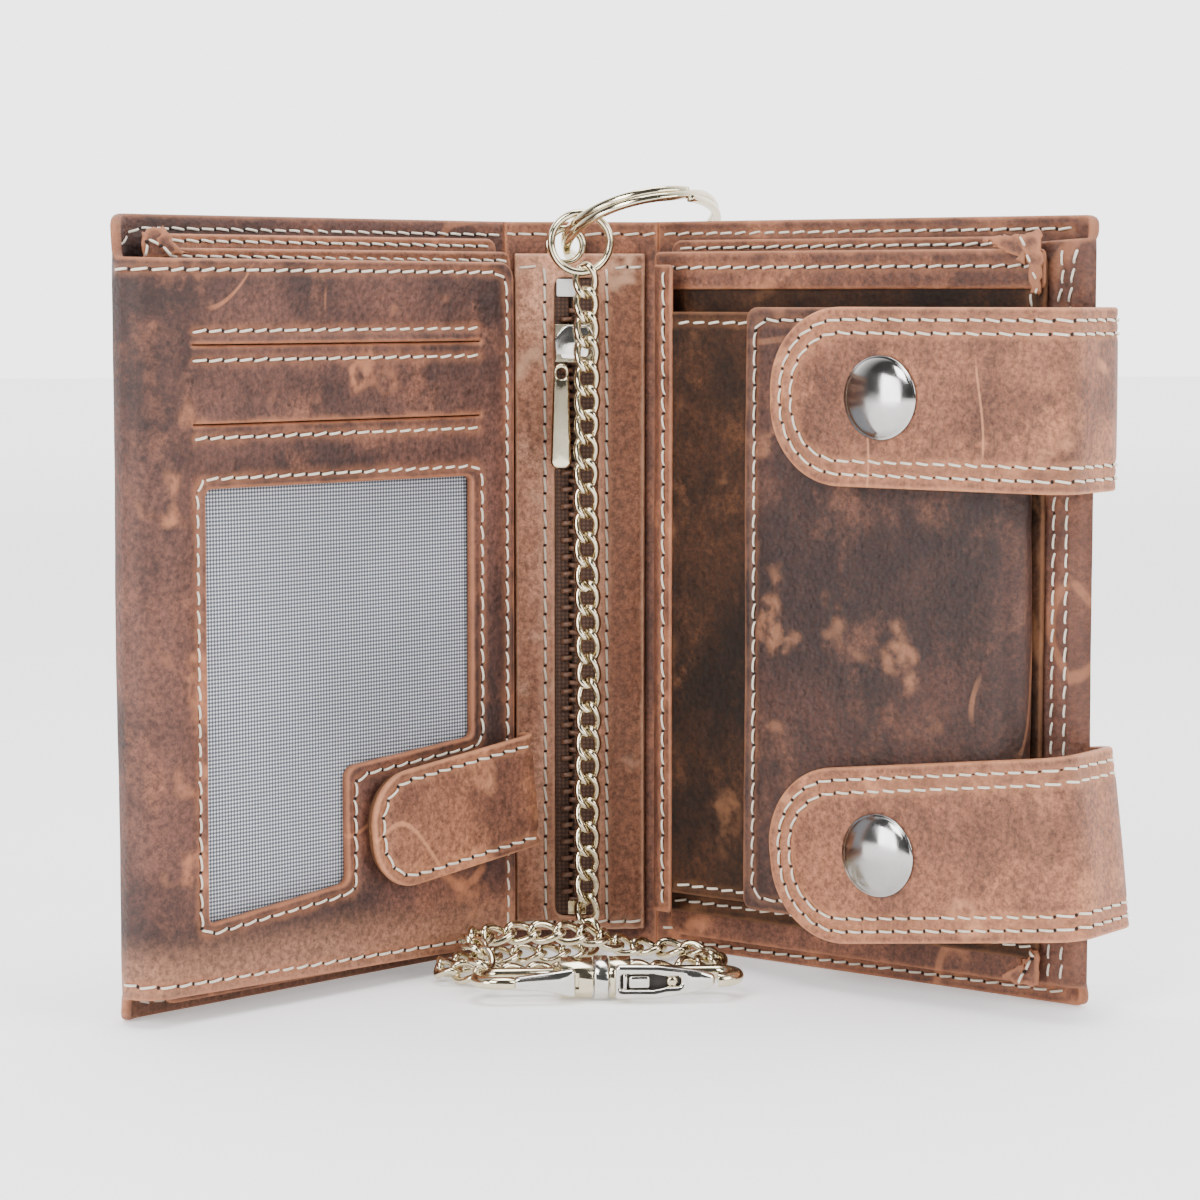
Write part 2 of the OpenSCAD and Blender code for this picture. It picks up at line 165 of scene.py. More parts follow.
def leather(name, tones, patch_scale=32.0, patch=(0.36, 0.66), gloss=0.55, sheen=0.34, fade=None):
    """Waxed hide: cloudy patches, fine mottling, bruises, hairline scars, pale edges and seams, and painted
    shade darkening the back of each sheet.

    tones are the dark, middle, light and worn colours. fade is (axis, start, end, amount, tone): another
    tone that sets in across the sheet's own plane. All are 8-bit display colours.
    """
    dark, mid, light, worn = (linear(*tone) for tone in tones)
    g = Graph(bpy.data.materials.new(name))
    cloud = g.noise(patch_scale, 5.0, 0.62)
    color = g.mix(g.ramp(cloud, *patch), dark, mid)
    color = g.mix(g.ramp(g.noise(patch_scale * 2.3, 6.0, 0.7), 0.5, 0.75), color, light)
    smudge = g.noise(patch_scale * 0.8, 7.0, 0.75, g.stretched((1.0, 1.0, 0.45)))
    color = g.mix(g.ramp(smudge, 0.52, 0.66, 0.0, 0.8), color, dark)
    if fade:
        axis, start, end, amount, tone = fade
        wavering = g.math("ADD", g.plane()[axis], g.centred(cloud, 0.06))
        color = g.mix(g.ramp(wavering, start, end, 0.0, amount), color, linear(*tone))
    fine = g.noise(GRAIN_SCALE, 6.0, 0.8)
    mottle = g.mix(g.ramp(fine, 0.32, 0.7), (0.42, 0.4, 0.38, 1), (1.55, 1.5, 1.45, 1))
    color = g.mix(1.0, color, mottle, "MULTIPLY")
    bruise = g.math("MULTIPLY", g.ramp(g.noise(75.0, 2.0, 0.5), 0.62, 0.7),
                    g.ramp(g.noise(330.0, 5.0), 0.36, 0.62))
    color = g.mix(g.math("MULTIPLY", bruise, 0.6), color, worn)
    bent = g.math("ABSOLUTE", g.centred(g.noise(34.0, 1.0, 0.4, g.stretched((1.0, 1.0, 0.55)))))
    scar = g.math("MULTIPLY", g.ramp(bent, 0.0025, 0.008, 1.0, 0.0),
                  g.ramp(g.noise(48.0, 1.0, 0.4), 0.57, 0.63))
    color = g.mix(g.math("MULTIPLY", scar, 0.5), color, worn)
    edge, seam, inside = g.channels("wear")
    uneven = g.centred(g.noise(260.0, 4.0), 0.9)
    color = g.mix(g.ramp(g.math("ADD", edge, uneven), 0.4, 1.1, 0.0, 0.5), color, worn)
    color = g.mix(g.ramp(g.math("ADD", seam, uneven), 0.4, 1.25, 0.0, 0.34), color, worn)
    # painted shade: the back of each sheet, the side turned away, is darkened towards the dark tone
    color = g.mix(g.math("MULTIPLY", inside, 0.35), color, dark)
    normal = g.bump(g.noise(240.0, 6.0, 0.65), 0.0007, 0.55)
    normal = g.bump(g.cells(GRAIN_SCALE), 0.00022, 0.5, normal)
    normal = g.bump(fine, 0.00012, 0.6, normal)
    g.set(Base_Color=color, Roughness=g.ramp(fine, 0.2, 0.8, gloss - 0.1, gloss + 0.14), Normal=normal,
          Specular_IOR_Level=sheen)
    return g.owner


HIDE = leather("waxed_hide", ((78, 48, 38), (122, 78, 60), (156, 100, 73), (190, 124, 86)))
PANEL_HIDE = leather("waxed_hide_panel", ((50, 32, 29), (96, 62, 52), (134, 86, 66), (190, 122, 84)),
                     26.0, (0.4, 0.6), fade=(1, 0.15, 0.07, 0.6, (168, 118, 92)))
FLAP_HIDE = leather("waxed_hide_flap", ((44, 28, 25), (74, 47, 39), (108, 71, 55), (158, 106, 76)),
                    24.0, (0.4, 0.6))
DARK_HIDE = leather("waxed_hide_dark", ((30, 18, 11), (60, 36, 22), (92, 58, 37), (126, 84, 56)),
                    30.0, (0.4, 0.62), 0.62, 0.2)
ZIP_HIDE = leather("waxed_hide_zip", ((138, 90, 68), (180, 126, 100), (202, 150, 122), (214, 164, 132)),
                   30.0, (0.36, 0.6), fade=(0, 0.038, 0.06, 0.85, (112, 70, 50)))
TAN_HIDE = leather("waxed_hide_tan", ((98, 62, 48), (144, 94, 70), (172, 114, 82), (214, 146, 104)),
                   30.0, (0.38, 0.6))


def thread_material():
    g = Graph(bpy.data.materials.new("stitching_thread"))
    twist = g.math("SINE", g.math("MULTIPLY", g.plane()[0], 9000.0))
    g.set(Base_Color=g.mix(g.noise(900.0), linear(228, 212, 188), linear(255, 248, 234)), Roughness=0.75,
          Normal=g.bump(twist, 0.00006, 0.6))
    return g.owner


def weave_material(name, low, high, pitch, depth, rough):
    """Woven cloth in the plane of its sheet, pitch in millimetres."""
    g = Graph(bpy.data.materials.new(name))
    along, up = g.plane()
    half_turn = math.pi / (pitch * PLANE_UNIT)
    threads = (g.math("SINE", g.math("MULTIPLY", g.math(way, along, up), half_turn))
               for way in ("ADD", "SUBTRACT"))
    dots = g.ramp(g.math("MULTIPLY", *threads), -0.2, 0.55)
    shade = g.mix(g.ramp(g.noise(14.0, 3.0), 0.3, 0.7), (0.85, 0.85, 0.85, 1), (1.12, 1.12, 1.12, 1))
    color = g.mix(1.0, g.mix(dots, low, high), shade, "MULTIPLY")
    g.set(Base_Color=color, Roughness=rough, Normal=g.bump(dots, depth, 0.7))
    return g.owner


def metal(name, color, rough, scratch=0.25, metallic=1.0):
    g = Graph(bpy.data.materials.new(name))
    wear = g.noise(300.0, 5.0, 0.6)
    g.set(Base_Color=g.mix(g.ramp(wear, 0.35, 0.7), color, (*(0.9 * c for c in color[:3]), 1.0)),
          Metallic=metallic, Roughness=g.ramp(wear, 0.3, 0.75, rough, rough + 0.1),
          Normal=g.bump(g.noise(240.0, 2.0), 0.00003, scratch))
    return g.owner


def plain_material(name, color, rough):
    g = Graph(bpy.data.materials.new(name))
    g.set(Base_Color=color, Roughness=rough)
    return g.owner


THREAD = thread_material()
HOLE = plain_material("needle_hole_shadow", linear(30, 18, 14), 0.95)
MESH = weave_material("window_mesh_cloth", linear(70, 74, 86), linear(206, 208, 212), 0.6, 0.00008, 0.6)
LINING = weave_material("pocket_lining_cloth", linear(58, 42, 34), linear(86, 64, 52), 0.6, 0.00008, 0.85)
TAPE = weave_material("zip_tape_cloth", linear(62, 42, 32), linear(98, 68, 52), 0.7, 0.0001, 0.8)
COIL = metal("zip_coil_brown", linear(108, 74, 54), 0.35, metallic=0.0)
NICKEL = metal("polished_nickel", (0.68, 0.6, 0.43, 1.0), 0.08, 0.2)
BRIGHT = metal("bright_nickel_plate", (0.7, 0.67, 0.62, 1.0), 0.07, 0.12)
CAP = metal("brushed_snap_cap", (0.42, 0.41, 0.4, 1.0), 0.1, 0.12)
RECESS = plain_material("hook_recess_shadow", linear(34, 28, 24), 0.6)
STOP = metal("pale_zip_stop", (0.8, 0.79, 0.76, 1.0), 0.4, metallic=0.15)

# ---------- places and paths, in millimetres ----------

COVER_TURN = math.radians(48.5)     # how far each cover is swung out from straight ahead
SIN, COS = math.sin(COVER_TURN), math.cos(COVER_TURN)
SPINE_HALF = 12
COVER_H = 125.0
EYELET_U, EYELET_Z = -2.6, 120.9


def stacked(x, y, z):
    """Points in metres from millimetre coordinates of any shapes that match."""
    return np.stack(np.broadcast_arrays(*(np.asarray(c, float) for c in (x, y, z))), -1) * MM


def left(u, v, z):
    """u runs out from the spine along the left cover, v inwards from its outer leather's middle."""
    u, v = np.asarray(u, float), np.asarray(v, float)
    return stacked(-SPINE_HALF - SIN * u + COS * v, -COS * u - SIN * v, z)


def right(u, v, z):
    return left(u, v, z) * [-1, 1, 1]


def spine(u, v, z):
    return stacked(u, -np.asarray(v, float), z)


def slanted(base, at_u, at_z, degrees):
    """A place on base whose own u runs at a slant; z is measured from at_z."""
    c, s = math.cos(math.radians(degrees)), math.sin(math.radians(degrees))

    def place(u, v, z):
        du = np.asarray(u, float) - at_u
        return base(at_u + c * du - s * np.asarray(z), v, at_z + s * du + c * np.asarray(z))

    return place


def fillet(points, radius, closed=True, step=0.8):
    """Polyline with round corners, cut into pieces no longer than step.

    radius is one number or one per corner.
    """
    p = [np.array(q, float) for q in points]
    n = len(p)
    radii = [radius] * n if np.isscalar(radius) else list(radius)
    out = []
    for i in range(n):
        if not closed and i in (0, n - 1):
            out.append(p[i])
            continue
        a, b, c = p[i - 1], p[i], p[(i + 1) % n]
        da, dc = (a - b) / np.linalg.norm(a - b), (c - b) / np.linalg.norm(c - b)
        half = math.acos(max(-1, min(1, float(da @ dc)))) / 2
        if radii[i] < 0.02 or half > 1.55:
            out.append(b)
            continue
        reach = min(radii[i] / math.tan(half), 0.49 * np.linalg.norm(a - b), 0.49 * np.linalg.norm(c - b))
        r = reach * math.tan(half)
        middle = b + (da + dc) / np.linalg.norm(da + dc) * (r / math.sin(half))
        first, last = b + da * reach - middle, b + dc * reach - middle
        sweep = math.pi - 2 * half
        turn = math.copysign(sweep, first[0] * last[1] - first[1] * last[0])
        steps = max(2, int(math.ceil(abs(turn) * r / min(step, 0.5 + r * 0.1))))
        for k in range(steps + 1):
            w = turn * k / steps
            out.append(middle + [first[0] * math.cos(w) - first[1] * math.sin(w),
                                 first[0] * math.sin(w) + first[1] * math.cos(w)])
    dense = []
    pairs = zip(out, out[1:] + out[:1]) if closed else zip(out, out[1:])
    for a, b in pairs:
        length = np.linalg.norm(b - a)
        if length < 1e-4:
            continue
        steps = max(1, int(math.ceil(length / step)))
        dense += [a + (b - a) * k / steps for k in range(steps)]
    if not closed:
        dense.append(out[-1])
    return np.array(dense)

def straight(*points):
    """An open line with sharp corners."""
    return fillet(points, 0, False)


def run_of(line):
    """Distance along a polyline at each of its points."""
    return np.concatenate([[0], np.cumsum(np.linalg.norm(np.diff(line, axis=0), axis=1))])


def spot_on(line, run, s):
    """The point at distance s along a polyline."""
    return np.array([np.interp(s, run, column) for column in line.T])


def unit(v):
    return v / max(1e-9, np.linalg.norm(v))


class Path:
    """Middle line of a sheet seen from above; at() turns (distance along, offset) into (u, v)."""

    def __init__(self, points, radius=1.0, start=0.0):
        self.p = fillet(points, radius, closed=False, step=0.5)
        self.s = start + run_of(self.p)
        self.t = np.gradient(self.p, self.s, axis=0)
        self.end = float(self.s[-1])

    def at(self, s, offset):
        u, v = (np.interp(s, self.s, self.p[:, k]) for k in (0, 1))
        tu, tv = (np.interp(s, self.s, self.t[:, k]) for k in (0, 1))
        size = np.hypot(tu, tv)
        return u - offset * tv / size, v + offset * tu / size


def flat(v, u0=0.0, u1=100.0):
    return Path([(u0, v), (u1, v)], 0, start=u0)


def box_outline(low, high, radius):
    return fillet([low, (high[0], low[1]), high, (low[0], high[1])], radius)

def ellipse(count, wide, high, u=0.0, z=0.0):
    turns = [2 * math.pi * k / count for k in range(count)]
    return [(u + wide * math.cos(w), z + high * math.sin(w)) for w in turns]


def distance(points, line, closed):
    """Shortest distance of each point to a polyline."""
    ends = np.roll(line, -1, axis=0) if closed else line[1:]
    starts = line if closed else line[:-1]
    best = np.full(len(points), 1e9)
    for i in range(0, len(starts), 64):
        a, b = starts[i:i + 64], ends[i:i + 64]
        ab = b - a
        t = np.einsum("ijk,jk->ij", points[:, None] - a, ab) / np.maximum(1e-12, (ab * ab).sum(1))
        gap = points[:, None] - (a + np.clip(t, 0, 1)[..., None] * ab)
        best = np.minimum(best, np.sqrt((gap * gap).sum(2)).min(1))
    return best


def within(points, loop):
    x, y = points[:, 0:1], points[:, 1:2]
    ax, ay = loop[:, 0], loop[:, 1]
    bx, by = np.roll(ax, -1), np.roll(ay, -1)
    cross = (ay > y) != (by > y)
    with np.errstate(divide="ignore", invalid="ignore"):
        hit = x < (bx - ax) * (y - ay) / (by - ay) + ax
    return (cross & hit).sum(1) % 2 == 1


def square_to(directions):
    """Unit vectors at right angles to each row of directions."""
    t = directions / np.maximum(1e-9, np.linalg.norm(directions, axis=1))[:, None]
    return np.stack([-t[:, 1], t[:, 0]], 1)


def shifted(loop, out):
    """A loop moved sideways by out along its corner normals."""
    before, after = loop - np.roll(loop, 1, axis=0), np.roll(loop, -1, axis=0) - loop
    t = before / np.linalg.norm(before, axis=1)[:, None] + after / np.linalg.norm(after, axis=1)[:, None]
    return loop + out * square_to(t)


def skin(rings, size, first=0, closed=False):
    """Faces round a stack of rings of size vertices, the last joined to the first or both ends capped."""
    faces = []
    for i in range(rings if closed else rings - 1):
        a, b = first + i * size, first + (i + 1) % rings * size
        faces += [(a + k, a + (k + 1) % size, b + (k + 1) % size, b + k) for k in range(size)]
    if not closed:
        last = first + (rings - 1) * size
        faces += [tuple(range(first + size - 1, first - 1, -1)), tuple(range(last, last + size))]
    return faces


# ---------- building and mounting ----------

# Mounts that join two bodies: the bodies, then where the bend starts and where it ends, in metres.
BENDS = {
    "left_leather": ("left_fold_band", "left_cover", left(2.6, 0, 60), left(5.4, 0, 60)),
    "right_leather": ("right_fold_band", "right_cover", right(2.6, 0, 60), right(5.4, 0, 60)),
    "spine_left": ("spine", "left_fold_band", (-0.0108, 0, 0.06), (-0.0132, 0, 0.06)),
    "spine_right": ("spine", "right_fold_band", (0.0108, 0, 0.06), (0.0132, 0, 0.06)),
    "strap_upper_bend": ("right_cover", "strap_upper", right(84, -0.9, 96), right(84, 2.5, 96)),
    "strap_lower_bend": ("right_cover", "strap_lower", right(84, -0.9, 27), right(84, 2.5, 27)),
    "flap_bend": ("right_cover", "flap", right(81.6, 8.6, 60), right(81.6, 10.6, 60)),
    "chain": ("hanging_chain", "chain_end", (0.0005, -0.0098, 0.005), (0.0005, -0.0135, 0.005)),
}


def build(name, vertices, faces, material):
    mesh = bpy.data.meshes.new(name)
    mesh.from_pydata([tuple(v) for v in vertices], [], [tuple(f) for f in faces])
    mesh.materials.append(material)
    for polygon in mesh.polygons:
        polygon.use_smooth = True
    obj = bpy.data.objects.new(name, mesh)
    bpy.context.collection.objects.link(obj)
    return obj


def settle(obj, mount, stands_for=()):
    """Turns every face of a closed mesh outwards, mounts it on its body or, for a bend's mount, only bakes
    its place into the mesh, and hides the parts it stands for.
    """
    bm = bmesh.new()
    bm.from_mesh(obj.data)
    bmesh.ops.recalc_face_normals(bm, faces=bm.faces)
    bm.to_mesh(obj.data)
    bm.free()
    if mount in BENDS:
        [x if isinstance(x, str) else tuple(float(c) for c in x) for x in BENDS[mount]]
        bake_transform(obj)
    else:
        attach(obj, mount)
    if stands_for:
        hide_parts(*stands_for)


def give_plane(obj, per_vertex):
    """Stores each vertex's place in its sheet's own plane, as the UV map that the materials read."""
    layer = obj.data.uv_layers.new(name="plane")
    corners = np.empty(len(obj.data.loops), int)
    obj.data.loops.foreach_get("vertex_index", corners)
    layer.data.foreach_set("uv", per_vertex[corners].ravel())


# ---------- leather sheets ----------


def cut_out(outline, holes, seams, grid, edge_r):
    """Points, triangles and border edges of a flat shape, denser along its borders and seams."""
    loops = [outline, *holes]
    edges, first = [], 0
    for loop in loops:
        count = len(loop)
        edges += [(first + i, first + (i + 1) % count) for i in range(count)]
        first += count
    extra = [shifted(loop, side * share * edge_r)
             for loop in loops for share in (0.15, 0.5, 1.0) for side in (-1, 1)]
    for line in seams:
        across = square_to(np.gradient(line, axis=0))
        extra += [line + off * across for off in (-0.8, -0.4, 0, 0.4, 0.8)]
    (s0, z0), (s1, z1) = outline.min(0), outline.max(0)
    gs, gz = np.meshgrid(np.arange(s0 + grid / 2, s1, grid), np.arange(z0 + grid / 2, z1, grid))
    field = np.stack([gs.ravel(), gz.ravel()], 1)
    keep = np.minimum.reduce([distance(field, loop, True) for loop in loops]) > edge_r + 0.5
    for line in seams:
        keep &= distance(field, line, False) > 1.2
    extra = np.concatenate(extra + [field[keep]])

    def in_shape(points):
        inside = within(points, outline)
        for hole in holes:
            inside &= ~within(points, hole)
        return inside

    gap = np.minimum.reduce([distance(extra, loop, True) for loop in loops])
    points = np.concatenate(loops + [extra[in_shape(extra) & (gap > 0.12 * edge_r)]])
    found = delaunay_2d_cdt([Vector(p) for p in points], edges, [], 0, 1e-5, True)
    points, triangles = np.array([(p.x, p.y) for p in found[0]]), np.array(found[2])
    triangles = triangles[in_shape(points[triangles].mean(1))]
    sides = {e: True for a, b, c in triangles for e in ((a, b), (b, c), (c, a))}
    used = np.unique(triangles)
    index = -np.ones(len(points), int)
    index[used] = np.arange(len(used))
    rim = [(index[a], index[b]) for a, b in sides if (b, a) not in sides]
    return points[used], index[triangles], rim


def sheet(name, place, path, outline, thick, mount, material, holes=(), seams=(), lips=(), grid=2.4,
          wave=0.1, edge_r=0.45, face=1, puff=0.0, seed=1, stands_for=()):
    """A sheet of leather, cloth or plate with rounded edges, pressed seams and a slightly uneven surface.

    outline, holes and seams are lines in (distance along path, height). lips are slits (z, s0, s1) whose
    upper edge stands proud. face is 1 or -1, the side of the path that shows the seams. puff swells the
    middle towards that side.
    """
    edge_r = min(edge_r, thick * 0.48)
    p, triangles, rim = cut_out(outline, holes, seams, grid, edge_r)
    away = np.minimum.reduce([distance(p, loop, True) for loop in (outline, *holes)])
    away[away < 0.1 * edge_r] = 0
    drop = edge_r * (1 - np.sqrt(1 - np.clip(1 - away / edge_r, 0, 1) ** 2 * 0.998))
    to_seam = np.minimum.reduce([np.full(len(p), 1e9)] + [distance(p, line, False) for line in seams])
    groove = np.exp(-(to_seam / 0.55) ** 2)
    phase = np.random.default_rng(seed).uniform(0, 6.28, 8)
    s, z = p.T
    swell = wave * (np.sin(s / 11 + z / 37 + phase[0]) + np.sin(z / 14 - s / 31 + phase[1])
                    + 0.6 * np.sin(s / 6.3 + phase[2]) * np.sin(z / 7.7 + phase[3])
                    + 0.35 * np.sin(s / 2.9 + z / 4.1 + phase[4]) * np.sin(z / 3.3 - s / 5 + phase[5])) / 2
    swell = swell + puff * (1 - np.exp(-(away / 5) ** 2)) * face
    lift = np.zeros(len(p))
    for slit_z, a, b in lips:
        along = np.clip((s - a) / 4, 0, 1) * np.clip((b - s) / 4, 0, 1)
        up = z - slit_z
        lift += along * np.where(up > 0, 0.45 * np.exp(-(up / 1.6) ** 2), -0.25 * np.exp(-(up / 1.2) ** 2))
    front = thick / 2 - drop - 0.24 * groove + lift
    back = -thick / 2 + drop + 0.15 * groove
    vertices = [place(*path.at(s, swell + face * side), z) for side in (front, back)]
    count = len(p)
    faces = [tuple(t) for t in triangles] + [tuple(t[::-1] + count) for t in triangles]
    faces += [(b, a, a + count, b + count) for a, b in rim]
    obj = build(name, np.concatenate(vertices), faces, material)
    rgba = np.zeros((2 * count, 4))     # red: worn edges, green: seams, blue: the side turned away, which the leather darkens as painted shade
    rgba[:, 0] = np.tile(np.minimum(1, np.exp(-(away / 0.55) ** 2) + 0.22 * np.exp(-(away / 2.2) ** 2)), 2)
    rgba[:count, 1] = np.exp(-0.5 * (to_seam / 1.05) ** 2)
    rgba[count:, 2] = 1
    rgba[:, 3] = 1
    obj.data.color_attributes.new("wear", "FLOAT_COLOR", "POINT").data.foreach_set("color", rgba.ravel())
    give_plane(obj, np.tile(p, (2, 1)) * PLANE_UNIT)
    settle(obj, mount, stands_for)


# ---------- stitches ----------

STITCH_PITCH, STITCH_TILT, THREAD_R = 2.95, 7.0, 0.21
HOLE_LONG, HOLE_WIDE = 0.24, 0.34
CORNERS = 6     # of a thread's and a needle hole's section
# A thread's rings: (share of the length, height, size)
THREAD_RINGS = ((0, -0.4, 0.55), (0.12, 0.02, 0.95), (0.32, 0.2, 1.0),
                (0.68, 0.2, 1.0), (0.88, 0.02, 0.95), (1, -0.4, 0.55))
stitch_groups = {}
needle_holes = {}


def stitch(group, mount, place, path, line, offset, face=1, length=2.72):
    """A row of thread stitches along a line on a sheet, each a little askew, with sunk ends."""
    vertices, faces, plane = stitch_groups.setdefault((group, mount), ([], [], []))
    hole_vertices, hole_faces = needle_holes.setdefault((group, mount), ([], []))
    run = run_of(line)
    count = max(1, int(round(run[-1] / STITCH_PITCH)))
    step = run[-1] / count
    turns = [k * math.pi * 2 / CORNERS for k in range(CORNERS)]

    def put(into, spot, out):
        u, v = path.at(spot[0], face * out)
        into.append(place(u, v, spot[1]).reshape(3))

    for i in range(1, count):
        before, spot, after = (spot_on(line, run, i * step + k) for k in (-0.3, 0, 0.3))
        along = unit(after - before)
        across = np.array([-along[1], along[0]])
        hole_faces += skin(2, CORNERS, len(hole_vertices))
        for rise in (-0.9, -0.02):
            for w in turns:
                put(hole_vertices, spot + along * HOLE_LONG * math.cos(w) + across * HOLE_WIDE * math.sin(w),
                    offset + rise)
    for i in range(count):
        half = length / 2 * rng.uniform(0.92, 1.06) * step / STITCH_PITCH
        a, b = (spot_on(line, run, (i + 0.5) * step + k * half) for k in (-1, 1))
        d = unit(b - a)
        lean = np.array([-d[1], d[0]]) * math.tan(math.radians(STITCH_TILT + rng.uniform(-4, 4))) * half
        a, b = a - lean, b + lean
        d = unit(b - a)
        across = np.array([-d[1], d[0]])
        faces += skin(len(THREAD_RINGS), CORNERS, len(vertices))
        for share, rise, size in THREAD_RINGS:
            for k, w in enumerate(turns):
                put(vertices, a + (b - a) * share + across * (math.cos(w) * THREAD_R * size),
                    offset + rise + math.sin(w) * THREAD_R * size * 0.85)
                plane.append((share * length * PLANE_UNIT, k * PLANE_UNIT))


def sewn(group, offset, name, place, path, outline, thick, mount, material, seams, face=1, **more):
    """A sheet with stitches on its face along each seam."""
    sheet(name, place, path, outline, thick, mount, material, seams=seams, face=face, **more)
    for line in seams:
        stitch(group, mount, place, path, line, offset, face)


def make_stitches():
    for (group, mount), (vertices, faces, plane) in stitch_groups.items():
        obj = build(group, vertices, faces, THREAD)
        give_plane(obj, np.array(plane))
        settle(obj, mount)
    for (group, mount), (vertices, faces) in needle_holes.items():
        if vertices:
            obj = build(group.replace("stitches", "needle_holes"), vertices, faces, HOLE)
            settle(obj, mount)


# ---------- round and swept metal ----------


def lathe(name, place, centre, profile, mount, material, segments, stands_for=()):
    """Closed turned piece: profile is (radius, v) round the axis through centre = (u, z) of a place."""
    vertices = [place(u, v, z).reshape(3) for r, v in profile for u, z in ellipse(segments, r, r, *centre)]
    settle(build(name, vertices, skin(len(profile), segments), material), mount, stands_for)


def sweep(vertices, faces, centres, frames, section, closed):
    """Adds a section (list of (x, y)) swept along centres with (side, up) frames."""
    faces += skin(len(centres), len(section), len(vertices), closed)
    vertices += [c + side * x + up * y for c, (side, up) in zip(centres, frames) for x, y in section]


# ---------- chain ----------

DROP_ROUTE = [
    (0.4, -6.4, 115), (0.5, -7, 108), (0.6, -7.4, 96), (0.4, -7.6, 80), (0.6, -7.6, 62),
    (0.8, -7.6, 44), (0.6, -7.6, 28), (0.5, -7.8, 16), (0.5, -8, 7.6),
]
PILE_ROUTE = [
    (0.5, -11, 2.5), (-1, -14.8, 2.3), (-6, -18.8, 2.3), (-13, -19.3, 2.3), (-18.6, -23.4, 2.3),
    (-23.6, -27.8, 2.3), (-24.2, -31.6, 2.3), (-19, -34.8, 2.3), (-12, -36.3, 2.3), (-4, -35.8, 2.3),
    (4, -34.8, 2.3), (11, -34.8, 2.3), (17.5, -31.8, 2.3), (20.6, -25.8, 2.3), (18, -19.3, 2.3),
    (11.5, -16, 2.4), (5.5, -18, 3.4), (1, -21.8, 5.6), (-5, -24.3, 6.8), (-11, -24.4, 6.9),
    (-17, -26.2, 6.9), (-20, -30.8, 7), (-19.6, -35.8, 6.8), (-18.8, -39.8, 5.6),
]
LINK_PITCH, LINK_WIRE, LINK_WIDTH = 4.1, 1.25, 4.6
LINK_STEPS, ROUTE_STEPS = 28, 10


def smooth_route(points):
    p = np.array(points, float)
    out = []
    for i in range(len(p) - 1):
        a, b, c, d = p[max(i - 1, 0)], p[i], p[i + 1], p[min(i + 2, len(p) - 1)]
        for k in range(ROUTE_STEPS):
            t = k / ROUTE_STEPS
            out.append(0.5 * (2 * b + (c - a) * t + (2 * a - 5 * b + 4 * c - d) * t * t
                              + (3 * b - a - 3 * c + d) * t ** 3))
    return np.array(out + [p[-1]])


def chain():
    """Flat curb links, each twisted to lie on the next, down the drop and round the pile."""
    line = smooth_route(DROP_ROUTE + PILE_ROUTE)
    run = run_of(line)
    foot = run[(len(DROP_ROUTE) - 1) * ROUTE_STEPS]
    count = int(run[-1] / LINK_PITCH)
    half_long, half_wide = (LINK_PITCH + LINK_WIRE) / 2, (LINK_WIDTH - LINK_WIRE) / 2
    r = LINK_WIRE / 2 * MM
    vertices, faces = [], []
    up = np.array([0.0, -1.0, 0.0])
    for i in range(count + 1):
        s = i * run[-1] / count
        spot = spot_on(line, run, s)
        ahead = unit(spot_on(line, run, s + 1.6) - spot_on(line, run, s - 1.6))
        lying = min(1.0, max(0.0, (s - foot) / 6))
        up = up * 0.45 + (np.array([0.0, -(1 - 0.3 * lying), 0.7 * lying]) + 0.001) * 0.55
        up = unit(up - ahead * (up @ ahead))
        side = np.cross(ahead, up)
        roll = math.radians(rng.gauss(0, 9) + 10 * math.sin(s / 13))
        x_dir = side * math.cos(roll) + up * math.sin(roll)
        y_dir = up * math.cos(roll) - side * math.sin(roll)
        centres, frames = [], []
        for k in range(LINK_STEPS):
            w = 2 * math.pi * k / LINK_STEPS
            along = half_long * math.copysign(abs(math.cos(w)) ** 0.95, math.cos(w))
            across = half_wide * math.copysign(abs(math.sin(w)) ** 0.9, math.sin(w))
            twist = math.radians(44) * along / half_long
            flat_dir = x_dir * math.cos(twist) + y_dir * math.sin(twist)
            centres.append((spot + ahead * along + flat_dir * across) * MM)
        for k in range(LINK_STEPS):
            t = unit(centres[(k + 1) % LINK_STEPS] - centres[k - 1])
            outward = centres[k] - spot * MM
            outward = unit(outward - t * (outward @ t))
            frames.append((outward, np.cross(t, outward)))
        sweep(vertices, faces, centres, frames, ellipse(10, r, r * 0.95), True)
    obj = build("curb_chain", vertices, faces, NICKEL)
    settle(obj, "chain", ["chain_drop", "chain_pile"])


# ---------- outer leather, folds and spine ----------

COVER_MID = Path([(2, 0), (86.4, 0), (86.4, 9.6), (9.2, 9.6)], 4.8, start=2)
PANEL_TURN = 81.6 + 4.8 * math.pi + 81.6     # distance along COVER_MID is PANEL_TURN - u on the card panel
HEM_MID = Path([(2, 0), (86.4, 0), (86.4, 3.2), (77, 3.2)], 1.6, start=2)
HEM_U = 84.8      # where the right cover's hem starts to turn over
SEW = 0.66        # thread rows' distance from the middle of the cover leather


def panel_line(points, radius=0.0, closed=False):
    """A line given in (u, z) on the card panel, in COVER_MID's own distances."""
    return fillet([(PANEL_TURN - u, z) for u, z in points], radius, closed)


